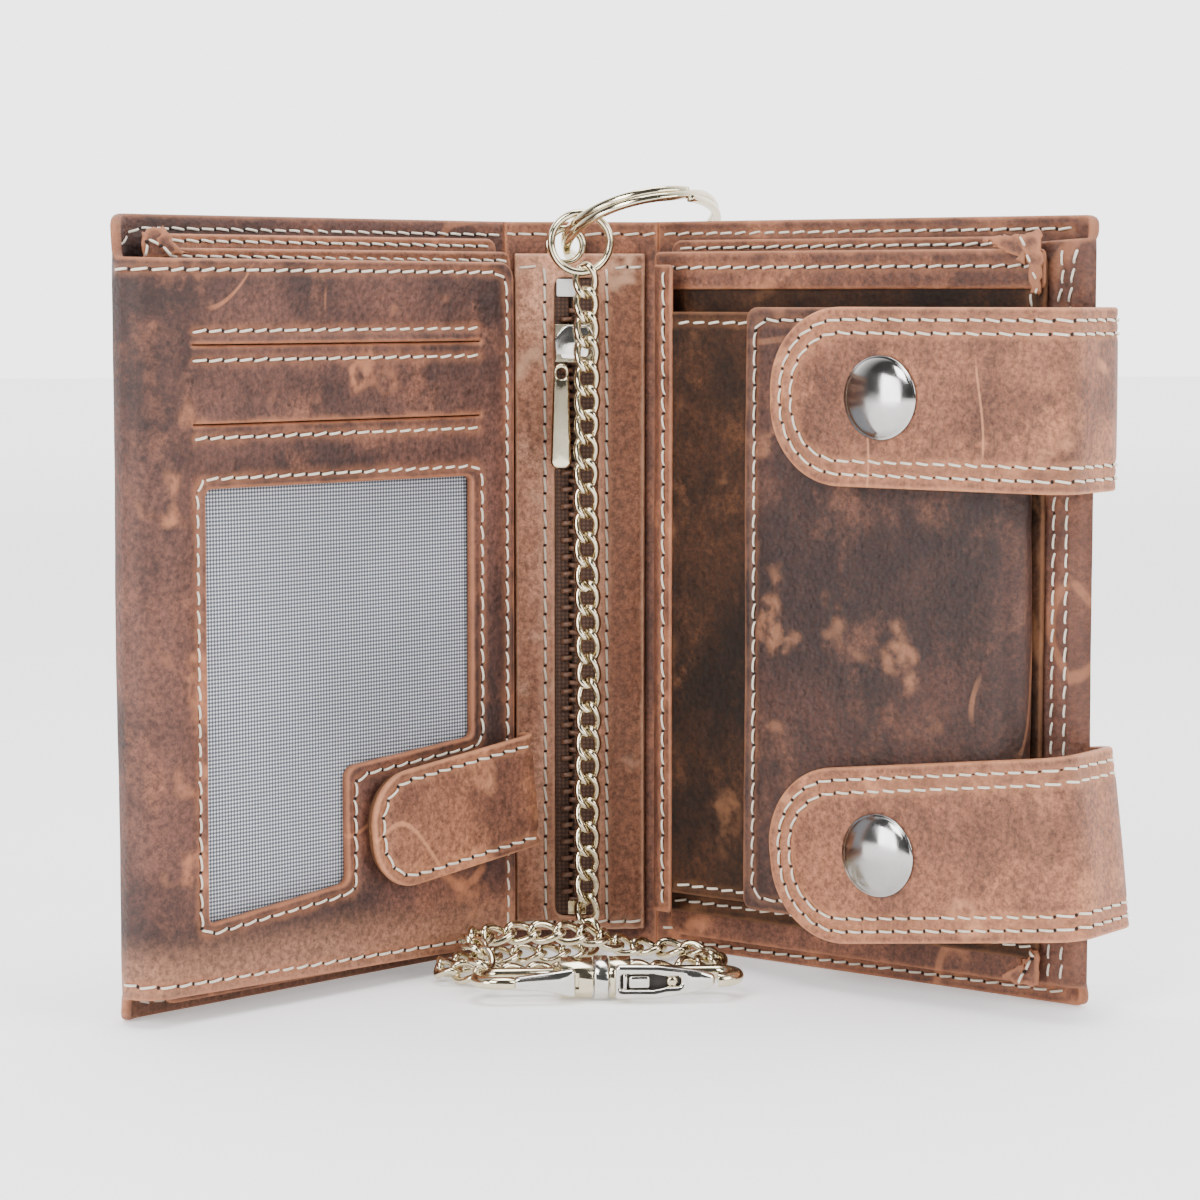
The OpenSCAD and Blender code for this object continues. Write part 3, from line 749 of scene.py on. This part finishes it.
def left_leather():
    """Outer cover, rolled fore-edge and card panel, one folded piece of leather."""
    end = COVER_MID.end
    outline = fillet([(2, 0.1), (86.2, 0.1), (87.8, 4.2), (97, 4.5), (end, 3.2), (end, 118), (97, 118.2),
                      (87.8, 118.4), (86.2, COVER_H), (2, COVER_H)], (0, 4.2, 1.5, 2, 2, 3, 2, 1.5, 4.6, 0))
    window = panel_line([(19, 82.8), (19, 39.3), (46.6, 36.9), (46.6, 18.1), (75.2, 15.1), (75.2, 82.8)],
                        (1.2, 1, 2.2, 1.5, 1.2, 1.2), True)
    around = panel_line([(16.7, 60), (16.7, 84.4), (76.9, 84.4), (76.9, 13.5), (45.0, 16.5), (45.0, 35.3),
                         (16.7, 37.8), (16.7, 60)], (0, 1.5, 1.5, 1.5, 1.5, 2.2, 1.5, 0))
    border = panel_line([(90.4, 116.5), (10.9, 116.3), (10.9, 4.9), (90.4, 6.6)], 2.4)
    rows = [panel_line([(17.2, z), (77.4, z)]) for z in (107.1, 102.6, 90.7)]
    slits = [panel_line([(17.0, z), (77.4, z), (77.4, z + 0.16), (17.0, z + 0.16)], 0.0, True)
             for z in (92.7, 104.9)]
    lips = [(z + 0.1, PANEL_TURN - 77.4, PANEL_TURN - 17) for z in (92.7, 104.9)]
    top = fillet([(3, 122.7), (81.4, 122.8), (84.6, 119.9)], 1.5, False)
    low = fillet([(3, 2.2), (81.4, 2.2), (84.6, 4.6)], 1.5, False)
    far = straight((79, 4), (79, 121))
    sheet("left_folded_leather", left, COVER_MID, outline, 1.58, "left_leather", PANEL_HIDE,
          holes=[window, *slits], seams=[around, border, *rows, top, low, far], lips=lips, wave=0.16,
          face=-1, seed=11, stands_for=["left_outer_cover", "left_fold", "id_panel_front"])
    for line in (around, border, *rows):
        stitch("card_panel_stitches", "left_cover", left, COVER_MID, line, 0.68, -1)
    for line, side in ((top, 1), (top, -1), (low, 1), (low, -1), (far, -1)):
        stitch("left_cover_stitches", "left_leather", left, COVER_MID, line, SEW, side)


def ragged(points, amount, seed):
    """A closed outline with a torn, uneven edge."""
    rough = random.Random(seed)
    line = fillet(points, 0.4, True, 0.9)
    return line + np.array([[rough.gauss(0, amount), rough.gauss(0, amount)] for _ in line])


# Corner: (place, mount, path seen from above, outlines of its flakes)
PLEATS = {
    "left_top": (left, "left_cover", [(74, 7.0), (79, 6.5), (83, 4.6)], (
        ((0, 118.3), (3.4, 119.6), (5.6, 122.4), (7.4, 120.6), (5.2, 118.6)),
        ((4.6, 118.2), (6.0, 123.2), (9.4, 122.2), (9.2, 118.0)))),
    "right_top": (right, "right_cover", [(68, 6.9), (76, 7.2), (81.5, 5.6)], (
        ((0.4, 121.3), (5.8, 121.9), (9.2, 121.8), (10.0, 116.4), (8.4, 118.4), (4.2, 120.4)),
        ((9.0, 122.2), (12.4, 122.4), (12.6, 112.4), (11.0, 112.9), (10.2, 117.6)))),
    "right_bottom": (right, "right_cover", [(68, 6.3), (76, 6.6), (81.5, 5.2)], (
        ((6.4, 4.2), (10.2, 3.6), (10.8, 8.6), (9.4, 6.6)),
        ((9.6, 3.6), (12.8, 3.4), (12.8, 9.5), (11.4, 9.2)))),
}


def corner_pleats():
    """Gathered leather tucked into the covers' corners, in torn, overlapping flakes."""
    for name, (place, mount, reach, flakes) in PLEATS.items():
        for k, corners in enumerate(flakes):
            path = Path([(u, v + 0.5 * k) for u, v in reach], 3.0)
            outline = ragged([(min(s, path.end - 0.1), z) for s, z in corners], 0.2, len(name) + k)
            crease = [(min(s, path.end - 0.6), z) for s, z in (corners[0], corners[2], corners[3])]
            sheet(f"{name}_pleat_{k + 1}", place, path, outline, 0.8, mount, HIDE, wave=0.42, grid=0.9,
                  edge_r=0.25, seed=70 + 7 * k + len(name))
            if k:
                stitch(f"{name}_pleat_stitches", mount, place, path, fillet(crease, 1, False), 0.5,
                       length=2.1)


def right_leather():
    """Outer cover and the hem turned over its fore-edge."""
    end = HEM_MID.end
    outline = fillet([(2, 0.1), (HEM_U + 1.6, 0.1), (HEM_U + 2.8, 3.4), (end, 3.8), (end, 120.8),
                      (HEM_U + 2.8, 121.4), (HEM_U + 1.6, COVER_H), (2, COVER_H)], (0, 4, 1, 1, 1, 1, 4, 0))
    top = straight((3, 122.9), (82.4, 122.9))
    low = straight((3, 3.4), (40, 4.0), (84, 4.6))
    lowest = straight((3, 1.4), (82.6, 2.0))
    hem = [fillet([(end - (u - 77), z) for u, z in row], 2, False) for row in (
        ((81.5, 4.5), (81.5, 110), (82.8, 115.5), (82.2, 119.8)), ((83.8, 4.5), (83.8, 112), (84.9, 120)))]
    sheet("right_outer_leather", right, HEM_MID, outline, 1.6, "right_leather", HIDE,
          seams=[top, low, lowest, *hem], grid=2.8, wave=0.14, seed=12,
          stands_for=["right_outer_cover", "right_fold", "right_fore_hem"])
    for row, side in ((top, 1), (low, 1), (lowest, 1), (top, -1), (lowest, -1), (hem[0], -1), (hem[1], -1)):
        stitch("right_cover_stitches", "right_leather", right, HEM_MID, row, SEW, side)


def spine_leather():
    """Two halves from the middle of the spine to the covers' folds; the left one has the eyelet's hole."""
    for sign, name in ((-1, "left"), (1, "right")):
        on_left = sign < 0
        end = left(2, 0, 0)[:2] / MM * [-sign, 1]
        path = Path([(0, 0), (SPINE_HALF * sign, 0), tuple(end)], 3)
        outline = fillet([(0, 0.1), (path.end, 0.1), (path.end, COVER_H), (0, COVER_H)], 0)
        holes = [np.array(ellipse(28, 2.45, 2.45, -EYELET_U, EYELET_Z))] if on_left else []
        sheet(f"spine_leather_{name}", stacked, path, outline, 1.6, f"spine_{name}", HIDE, holes=holes,
              seams=[straight((0, 122.9), (path.end - 0.3, 122.9))], grid=2.6, wave=0.03, face=-sign,
              seed=13 + sign, stands_for=["spine_cover"] if on_left else [])
        stitch(f"spine_{name}_stitches", f"spine_{name}", stacked, path,
               straight((5.6 if on_left else 0.4, 122.9), (path.end - 0.3, 122.9)), SEW, -sign)


# ---------- inner leaves ----------


def leaf(name, place, v, thick, low, high, radius, mount, material, **more):
    """A flat rectangular sheet whose middle is at v."""
    sheet(name, place, flat(v), box_outline(low, high, radius), thick, mount, material, **more)


def sewn_leaf(name, place, v, thick, low, high, material, node, rows, **more):
    """A flat leaf of a cover that stands for node, with stitches along rows of (u, z) corners."""
    side = "left" if place is left else "right"
    sewn(f"{side}_leaf_stitches", thick / 2 - 0.08, name, place, flat(v), box_outline(low, high, 2.0), thick,
         f"{side}_cover", material, [fillet(row, 1.5, False) for row in rows], stands_for=[node], **more)


def left_inside():
    sewn_leaf("left_divider_leaf", left, 2.8, 1.1, (6.5, 3), (80.2, 122), HIDE, "left_divider",
              [[(8, 120.7), (79, 120.9)]], wave=0.25, seed=21)
    sewn_leaf("left_inner_leaf", left, 5.0, 1.15, (5.2, 2.5), (80.4, 119.8), HIDE, "left_inner_panel",
              [[(6, 118.3), (79, 118.5)]], wave=0.3, seed=22)
    leaf("card_panel_backing", left, 6.9, 0.9, (9.8, 4.6), (80.6, 117), 3, "left_cover", DARK_HIDE, seed=24,
         stands_for=["id_panel_back"])
    leaf("window_mesh_panel", left, 8.55, 0.3, (15, 11.5), (79, 86.5), 1, "left_cover", MESH, wave=0.12,
         seed=25, stands_for=["id_window_mesh"])
    for name, v, low, high in (("upper", 8.15, 87, 108), ("lower", 7.7, 40, 96)):
        leaf(f"card_pocket_lining_{name}", left, v, 0.25, (15.8, low), (78.4, high), 1, "left_cover", LINING,
             wave=0.0, stands_for=[f"card_pocket_{name}"])


def tab():
    place = slanted(left, 7.4, 29.4, -6.5)
    path = Path([(6.7, 9.7), (6.7, 12.95), (43.8, 12.95)], 1.9)
    end = path.end
    outline = fillet([(0, -9.6), (end, -9.6), (end, 9.6), (0, 9.6)], (1, 8.2, 8.2, 1))
    line = fillet([(4, 7.9), (end - 1.7, 7.9), (end - 1.7, -7.9), (4, -7.9)], 6.6, False)
    sewn("tab_stitches", 0.68, "tab_leather", place, path, outline, 1.25, "tab", TAN_HIDE, [line], wave=0.08,
         puff=0.2, seed=31, stands_for=["tab_front"])
    back = fillet([(9, -9.2), (43.4, -9.2), (43.4, 9.2), (9, 9.2)], (1, 8, 8, 1))
    sheet("tab_lining", place, flat(11.6), back, 1.1, "tab", DARK_HIDE, wave=0.05, seed=32,
          stands_for=["tab_back"])


def right_inside():
    """Divider, coin side, its binding, and the coin pocket with its gussets and flap."""
    cover = "right_cover"
    sewn_leaf("right_divider_leaf", right, 2.5, 0.9, (6.5, 3), (76.2, 121.8), HIDE, "right_divider",
              [[(8, 120.4), (75.5, 120.6)]], wave=0.18, seed=41)
    base_rows = [[(7.6, 112), (7.6, 9.4)], [(9, 9.6), (79.5, 9.6)], [(77.9, 113), (77.9, 108)]]
    sewn_leaf("coin_side_base", right, 4.9, 1.2, (5.4, 7.6), (80.4, 119.4), DARK_HIDE, "right_base_panel",
              base_rows, wave=0.2, seed=42)
    sewn("right_leaf_stitches", 0.38, "coin_side_band", right, flat(5.75),
         box_outline((5.2, 113.5), (80.6, 119.8), 1), 0.9, cover, HIDE,
         [straight((79.5, 117.1), (6.6, 117.1))], seed=48)
    sewn_leaf("coin_pocket_leather", right, 9.15, 1.15, (9.4, 11.6), (74, 109.8), DARK_HIDE,
              "coin_pocket_front", [[(73, 108.0), (12.6, 108.0)], [(12.6, 13.2), (73, 13.2)]], wave=0.25,
              seed=43)
    binding = Path([(5.6, 5.9), (7.4, 8.2), (8.3, 9.9), (11.9, 9.95)], 1.6)
    row = straight((binding.end - 1.7, 9.4), (binding.end - 1.7, 116.6))
    sewn("right_leaf_stitches", 0.27, "coin_side_binding", right, binding,
         box_outline((0, 8.2), (binding.end, 117.6), 0.6), 0.7, cover, HIDE, [row], seed=49)
    side = Path([(9.9, 5.5), (9.3, 7.0), (9.9, 8.6)], 1)
    sheet("coin_gusset_side", right, side, box_outline((0, 12.4), (side.end, 108.8), 0.4), 0.9, cover,
          DARK_HIDE, wave=0.0, edge_r=0.2, seed=44, stands_for=["coin_gusset"])
    for name, z, bulge in (("top", 108.2, 0.5), ("bottom", 12.9, -0.5)):

        def ledge(u, v, w, z=z):
            return right(w, v, z + np.asarray(u, float))

        fold = Path([(0, 5.5), (bulge, 7.0), (0, 8.6)], 1)
        sheet(f"coin_gusset_{name}", ledge, fold, box_outline((0, 10.5), (fold.end, 73.6), 0.4), 0.9, cover,
              DARK_HIDE, wave=0.0, edge_r=0.2, seed=45)

    path = Path([(78.4, 5.9), (79.4, 11.3), (28, 11.35)], 2.6)
    tip = path.end
    outline = fillet([(0, 12), (7.0, 11), (tip, 11), (tip, 110.6), (7.0, 110.6), (0, 109)],
                     (0.5, 1, 2, 2, 1, 0.5))
    inset = fillet([(10, 108.5), (tip - 2, 108.5), (tip - 2, 13.1), (10, 13.1)], 1.5, False)
    sewn("coin_flap_stitches", 0.6, "coin_flap_leather", right, path, outline, 1.15, "flap_bend", FLAP_HIDE,
         [inset], -1, wave=0.3, puff=0.25, seed=46, stands_for=["coin_flap", "coin_flap_wall"])
    leaf("coin_flap_underside", right, 10.3, 0.65, (28.8, 11.8), (77, 109.8), 2, "flap", DARK_HIDE,
         wave=0.05, seed=47, stands_for=["coin_flap_lining"])


# ---------- straps and snaps ----------

STRAP_FOLD_U, STRAP_TIP_U, STRAP_HALF = 84.0, 35.4, 14.3
CAP_U, CAP_SEAT = 56.8, 15.65


def strap(name, z, slant, far):
    """A strap from the outer cover round the fore-edge to its snap; far is how far out it folds."""
    fold_z = z + (STRAP_FOLD_U - CAP_U) * math.tan(math.radians(slant))
    place = slanted(right, STRAP_FOLD_U, fold_z, slant)
    body, mount = f"strap_{name}", f"strap_{name}_bend"

    def tongue(start, end, half, tip_r, root_r, closed):
        return fillet([(start, half), (end, half), (end, -half), (start, -half)][::-1 if closed else 1],
                      (root_r, tip_r, tip_r, root_r), closed)

    path = Path([(60, -2.85), (far - 0.75, -2.85), (far - 0.75, 14.85), (STRAP_TIP_U, 14.85)], 4.05)
    end = path.end
    lines = [tongue(1.8, end - 2, 12.3, 11.2, 0, False), tongue(1.8, end - 4.1, 10.2, 9.2, 0, False),
             straight((2.0, -12.3), (2.0, 12.3))]
    sewn(f"{name}_strap_stitches", 0.7, f"{name}_strap_leather", place, path,
         tongue(0, end, STRAP_HALF, 13.2, 1.5, True), 1.6, mount, TAN_HIDE, lines, -1, grid=2.2, puff=0.12,
         seed=len(name) + int(z), stands_for=[f"{name}_strap", f"{name}_strap_anchor"])
    lining = Path([(62, -1.45), (far - 2.1, -1.45), (far - 2.1, 13.5), (STRAP_TIP_U + 0.5, 13.5)], 2.7)
    sheet(f"{name}_strap_lining_leather", place, lining,
          tongue(0, lining.end, STRAP_HALF - 0.4, 12.8, 1, True), 1.15, mount, DARK_HIDE, wave=0.05,
          seed=int(z) + 3, stands_for=[f"{name}_strap_lining"])

    rim = [(1.6, 12.4), (1.6, CAP_SEAT), (6.1, CAP_SEAT - 0.02), (6.6, CAP_SEAT + 0.1),
           (6.75, CAP_SEAT + 0.36), (6.6, CAP_SEAT + 0.6)]
    dome = [(6.35 * math.sin(w) / math.sin(1.3), CAP_SEAT + 0.1 + 1.75 * math.cos(w))
            for w in np.linspace(1.3, 0.02, 26)]
    lathe(f"{name}_cap", place, (CAP_U, 0), rim + dome, body, CAP, 96, [f"{name}_snap_cap"])
    socket = [(1.9, 12.3), (1.9, 11.9), (3.2, 11.75), (3.7, 12.1), (4.6, 12.0), (5.2, 12.3), (5.2, 12.7),
              (2, 12.85)]
    lathe(f"{name}_socket", place, (CAP_U, 0), socket, body, NICKEL, 48, [f"{name}_snap_socket"])


def studs():
    stud = [(4.6, -0.85), (4.7, -1.1), (4.4, -1.45), (2.9, -1.6), (2.0, -1.8), (1.8, -2.3), (2.15, -2.8),
            (1.9, -3.2), (0.9, -3.35)]
    button = [(4, 10.4), (4, 10.6), (2.4, 10.7), (2.2, 10.95)]
    socket = [(4.3, 11.9), (4.3, 11.2), (3.6, 10.98), (1.9, 11.0), (1.7, 11.4)]
    for name, centre, profile, mount, segments, stands_for in (
        ("outer_stud_lower", (60, 23.4), stud, "left_cover", 48, ["strap_studs"]),
        ("outer_stud_upper", (60, 96.4), stud, "left_cover", 48, ()),
        ("tab_stud_button", (33, 27), button, "left_cover", 40, ["tab_stud"]),
        ("tab_socket_ring", (33, 27), socket, "tab", 40, ["tab_socket"]),
    ):
        lathe(name, left, centre, profile, mount, NICKEL, segments, stands_for)


# ---------- zip, eyelet and rings ----------

ZIP_U = -1.9
TOOTH_PITCH, ZIP_LOW, ZIP_HIGH = 1.45, 8, 112


def zip_panel():
    path = Path([(-11.5, 1.8), (5.0, 1.8), (6.2, 2.4), (7.4, 1.4), (8.7, 2.4), (9.9, 1.4), (11.5, 2.0)], 0.9,
                start=-11.5)
    opening = box_outline((-4.6, 5.5), (2.8, 115.5), 1.4)
    notch = [(EYELET_U + 3.3 * math.cos(w), 121 + 3.3 * math.sin(w)) for w in np.linspace(5.7, 3.7, 9)]
    outline = fillet([(-11.4, 3), (11.4, 3), (11.4, 119.6), (0.2, 119.6), *notch, (-5.4, 119.6),
                      (-11.4, 119.6)], 0.2)
    rows = [straight(*ends) for ends in (
        ((-6.3, 4.6), (-6.3, 117.3)), ((4.3, 4.6), (4.3, 117.3)), ((5.6, 117.3), (11, 117.3)),
        ((-11, 117.3), (-7.4, 117.3)), ((-11, 4.4), (11, 4.4)))]
    sewn("zip_panel_stitches", 0.5, "zip_panel_leather", spine, path, outline, 1.15, "spine", ZIP_HIDE, rows,
         holes=[opening], wave=0.12, grid=2.0, seed=61, stands_for=["zip_panel"])
    sheet("zip_pouch_lining", spine, flat(1.0, -9.4, 9.4), box_outline((-9.4, 10), (9.4, 114), 1), 0.28,
          "spine", LINING, wave=0.0, stands_for=["zip_pouch"])
    for name, u0, u1 in (("left", -4.55, ZIP_U - 0.25), ("right", ZIP_U + 0.25, 2.75)):
        sheet(f"zip_tape_{name}", spine, flat(1.7, u0, u1), box_outline((u0, 5.7), (u1, 115.3), 0.2), 0.5,
              "spine", TAPE, wave=0.02, grid=1.6, stands_for=["zip_tapes"] if name == "left" else ())


def zip_metal():
    grip = fillet([(-5.6, 83.2), (-2.0, 83.2), (-2.5, 101), (-5.0, 101)], 1.2, True, 0.4)
    eye = fillet([(-4.5, 98.4), (-3.0, 98.4), (-3.0, 100.2), (-4.5, 100.2)], 0.7, True, 0.3)
    sheet("zip_pull_tab", spine, flat(6.05, -5.6, -1.9), grip, 1.1, "pull", NICKEL, holes=[eye], wave=0.0,
          grid=0.7, edge_r=0.5, puff=0.5, stands_for=["zip_pull"])
    crown = fillet([(-4.6, 101.7), (0.7, 101.7), (2.6, 104.6), (1.2, 107.5), (-3.0, 107.5), (-4.9, 105.4)],
                   (0.6, 1.6, 1.6, 1.4, 1.2, 1.6), True, 0.4)
    sheet("zip_slider_crown", spine, Path([(-5.0, 4.75), (-1.2, 5.0), (2.7, 4.7)], 6, start=-5.0), crown, 0.7,
          "slider", BRIGHT, wave=0.0, grid=0.6, edge_r=0.3, puff=0.55)
    vertices, faces = [], []
    frames = [(np.array([0, 0, 1.0]), np.array([0, -1.0, 0]))] * 5
    for i in range(int((ZIP_HIGH - ZIP_LOW) / TOOTH_PITCH)):
        z = ZIP_LOW + 0.4 + i * TOOTH_PITCH
        side = -1 if i % 2 else 1
        centres = [np.array([ZIP_U + side * (x - 0.35), -2.15 - lift, z + lean]) * MM for x, lift, lean in (
            (0, 0, 0.1), (0.25, 0.38, 0.05), (0.9, 0.45, 0), (1.6, 0.38, -0.05), (2.0, 0, -0.1))]
        sweep(vertices, faces, centres, frames, ellipse(8, 0.42 * MM, 0.34 * MM), False)
    settle(build("zip_teeth", vertices, faces, COIL), "spine", ["zip_coils"])


def turned(points, degrees, axis):
    """Points turned about X or Y through the origin."""
    c, s = math.cos(math.radians(degrees)), math.sin(math.radians(degrees))
    x, y, z = points.T
    if axis == "X":
        return np.stack([x, c * y - s * z, s * y + c * z], 1)
    return np.stack([c * x + s * z, y, c * z - s * x], 1)


def split_ring():
    """Flat wire wound twice round, leaning back from the eyelet."""
    steps, half_gap, radius, first_turn = 200, 0.62, 13.2, 2 * math.pi
    section = fillet([(-0.68, -0.6), (0.68, -0.6), (0.68, 0.6), (-0.68, 0.6)], 0.3, True, 1.2)
    points = []
    for k in range(steps):
        w = 2 * first_turn * k / (steps - 1)
        cross = min(1.0, max(0.0, (w - first_turn + 0.35) / 0.7))
        axial = half_gap * (2 * cross * cross * (3 - 2 * cross) - 1)
        for x, y in section:
            points.append([(radius + x) * math.cos(w + 0.9), (radius + x) * math.sin(w + 0.9), axial + y])
    points = turned(np.array(points), 90 + 66, "X") + [radius, 0, 0]
    points = turned(points, -12, "Y") + [EYELET_U, 0, EYELET_Z]
    ring = build("key_split_ring", points * MM, skin(steps, len(section)), NICKEL)
    settle(ring, "key_ring", ["split_ring"])


def chain_ring():
    centre, radius, wire = np.array([-0.4, -5.8, 121.4]), 5.0, 0.66 * MM
    outward = [np.array([x, 0, z]) for x, z in ellipse(72, 1.0, 1.0)]
    vertices, faces = [], []
    sweep(vertices, faces, [(centre + radius * o) * MM for o in outward],
          [(o, np.array([0, 1.0, 0])) for o in outward], ellipse(14, wire, wire), True)
    settle(build("chain_ring", vertices, faces, NICKEL), "jump_ring", ["small_ring"])


def eyelet():
    profile = [(2.35, -1.1), (2.7, -1.35), (3.4, -1.25), (3.55, -0.95), (2.6, -0.85), (2.6, 0.85),
               (3.55, 0.95), (3.4, 1.25), (2.7, 1.35), (2.35, 1.1)]
    vertices = [spine(EYELET_U + r * x, v, EYELET_Z + r * z) for x, z in ellipse(48, 1.0, 1.0)
                for r, v in profile]
    hole = build("spine_eyelet", vertices, skin(48, len(profile), closed=True), NICKEL)
    settle(hole, "spine", ["eyelet"])


# ---------- hook ----------

HOOK_V, HOOK_Z = 46, 3.6


def hook_place(u, v, z):
    return spine(u, np.asarray(v) + HOOK_V, np.asarray(z) + HOOK_Z)


def hook_fronts():
    """The flat gate of the eye half and the tapered thumb lever of the snap half."""
    gate = fillet([(-14.2, -1.1), (-9, -1.5), (-4.2, -2.5), (-4.2, 2.3), (-9, 1.6), (-14.2, 0.9)],
                  (0.9, 2, 0.6, 0.6, 2, 0.9), True, 0.5)
    sheet("eye_gate_arm", hook_place, Path([(-14.5, 3.3), (-8, 3.6), (-3.8, 3.5)], 6, start=-14.5), gate, 1.6,
          "eye_gate", BRIGHT, wave=0.0, grid=0.7, edge_r=0.7, puff=1.1, stands_for=["hook_eye_gate"])
    lever = fillet([(2.1, -2.8), (9, -2.75), (16, -1.75), (18.2, -0.9), (18.2, 0.9), (16, 1.75), (9, 2.75),
                    (2.1, 2.8)], (0.6, 8, 2, 0.8, 0.8, 2, 8, 0.6), True, 0.5)
    slot = fillet([(3.0, -1.15), (8.3, -1.15), (10.2, -0.75), (12.6, -0.75), (12.6, 0.75), (10.2, 0.75),
                   (8.3, 1.15), (3.0, 1.15)], (0.3, 1, 1, 0.5, 0.5, 1, 1, 0.3), True, 0.4)
    bow = Path([(1.9, 3.7), (9, 4.1), (18.6, 3.2)], 9, start=1.9)
    sheet("snap_lever_plate", hook_place, bow, lever, 1.5, "snap_lever", BRIGHT, holes=[slot], wave=0.0,
          grid=0.7, edge_r=0.7, puff=1.3, stands_for=["hook_lever"])
    sheet("snap_lever_recess", hook_place, Path([(2.5, 3.2), (13, 3.3)], 0, start=2.5),
          box_outline((2.6, -1.5), (12.9, 1.5), 0.5), 0.3, "snap_lever", RECESS, wave=0.0, grid=1.0,
          edge_r=0.1)
    sheet("snap_lever_block", hook_place, flat(3.7, 4.2, 7.7), box_outline((4.3, -1.0), (7.6, 1.0), 0.4), 1.6,
          "snap_lever", BRIGHT, wave=0.0, grid=0.8, edge_r=0.35)
    lathe("snap_lever_ball", hook_place, (11.2, 0), [(0.3, 2.6), (0.85, 2.8), (1.0, 3.4), (0.85, 4.0),
                                                     (0.5, 4.25)], "snap_lever", NICKEL, 28)


def dress(name, material, bevel):
    """A finish and softened edges, bevel millimetres wide, for a metal CAD node that stays in view."""
    obj = nodes[name]
    if not obj.material_slots:
        obj.data.materials.append(material)
    for item in obj.material_slots:
        item.link = "OBJECT"
        item.material = material
    weld = obj.modifiers.new("weld", "WELD")
    weld.merge_threshold = 0.005 * MM
    edge = obj.modifiers.new("soft_edges", "BEVEL")
    edge.width, edge.segments = bevel * MM, 2
    edge.limit_method, edge.angle_limit = "ANGLE", math.radians(38)
    edge.harden_normals = True

chain()
left_leather()
right_leather()
spine_leather()
corner_pleats()
left_inside()
tab()
right_inside()
strap("upper", z=96.4, slant=0, far=90.2)
strap("lower", z=23.4, slant=7, far=92.0)
studs()
zip_panel()
zip_metal()
split_ring()
chain_ring()
eyelet()
hook_fronts()
for node, material, bevel in (
    ("zip_top_stop", STOP, 0.25), ("zip_bottom_stop", NICKEL, 0.2), ("zip_slider", NICKEL, 0.3),
    ("hook_eye", NICKEL, 0.18), ("hook_swivel_pin", NICKEL, 0.1), ("hook_collar", BRIGHT, 0.3),
    ("hook_body", NICKEL, 0.2), ("gate_rivet", BRIGHT, 0.08), ("lever_rivet", BRIGHT, 0.08),
):
    dress(node, material, bevel)
make_stitches()

# ---------- stage ----------

AIM = (0, 0, 0.06)


def stage():
    ground = bpy.data.meshes.new("floor")
    ground.from_pydata([(-3, -3, 0), (3, -3, 0), (3, 4, 0), (-3, 4, 0)], [], [(0, 1, 2, 3)])
    floor = bpy.data.objects.new("floor", ground)
    bpy.context.collection.objects.link(floor)
    g = Graph(bpy.data.materials.new("pale_floor"))
    g.set(Base_Color=(0.96, 0.96, 0.96, 1), Roughness=0.85, Emission_Color=(1, 1, 1, 1),
          Emission_Strength=g.ramp(g.parts(g.spot)[1], 0.1, 2.2, 0.35, 1.3))
    ground.materials.append(g.owner)

    world = bpy.data.worlds.new("studio")
    bpy.context.scene.world = world
    g = Graph(world, "Background", "Generated")
    across, ahead = g.parts(g.spot)[:2]
    lean = g.math("ADD", g.math("MULTIPLY", across, 0.3), ahead)
    g.set(Color=(1, 1, 1, 1), Strength=g.ramp(lean, -0.4, 0.55, 0.1, 3.6, "LINEAR"))

    for name, spot, size, power, aim in (
        ("key_light", (-0.55, -0.9, 0.8), 0.5, 12, AIM),
        ("side_panel", (-0.85, -0.62, 0.22), 0.42, 6, AIM),
        ("fill_light", (0.7, -0.7, 0.45), 0.5, 7, AIM),
        ("top_light", (0.05, -0.1, 0.95), 0.5, 6, (0, 0, 0)),
    ):
        data = bpy.data.lights.new(name, "AREA")
        data.size, data.energy = size, power
        lamp = bpy.data.objects.new(name, data)
        lamp.location = spot
        lamp.rotation_euler = (Vector(aim) - Vector(spot)).to_track_quat("-Z", "Y").to_euler()
        bpy.context.collection.objects.link(lamp)


stage()
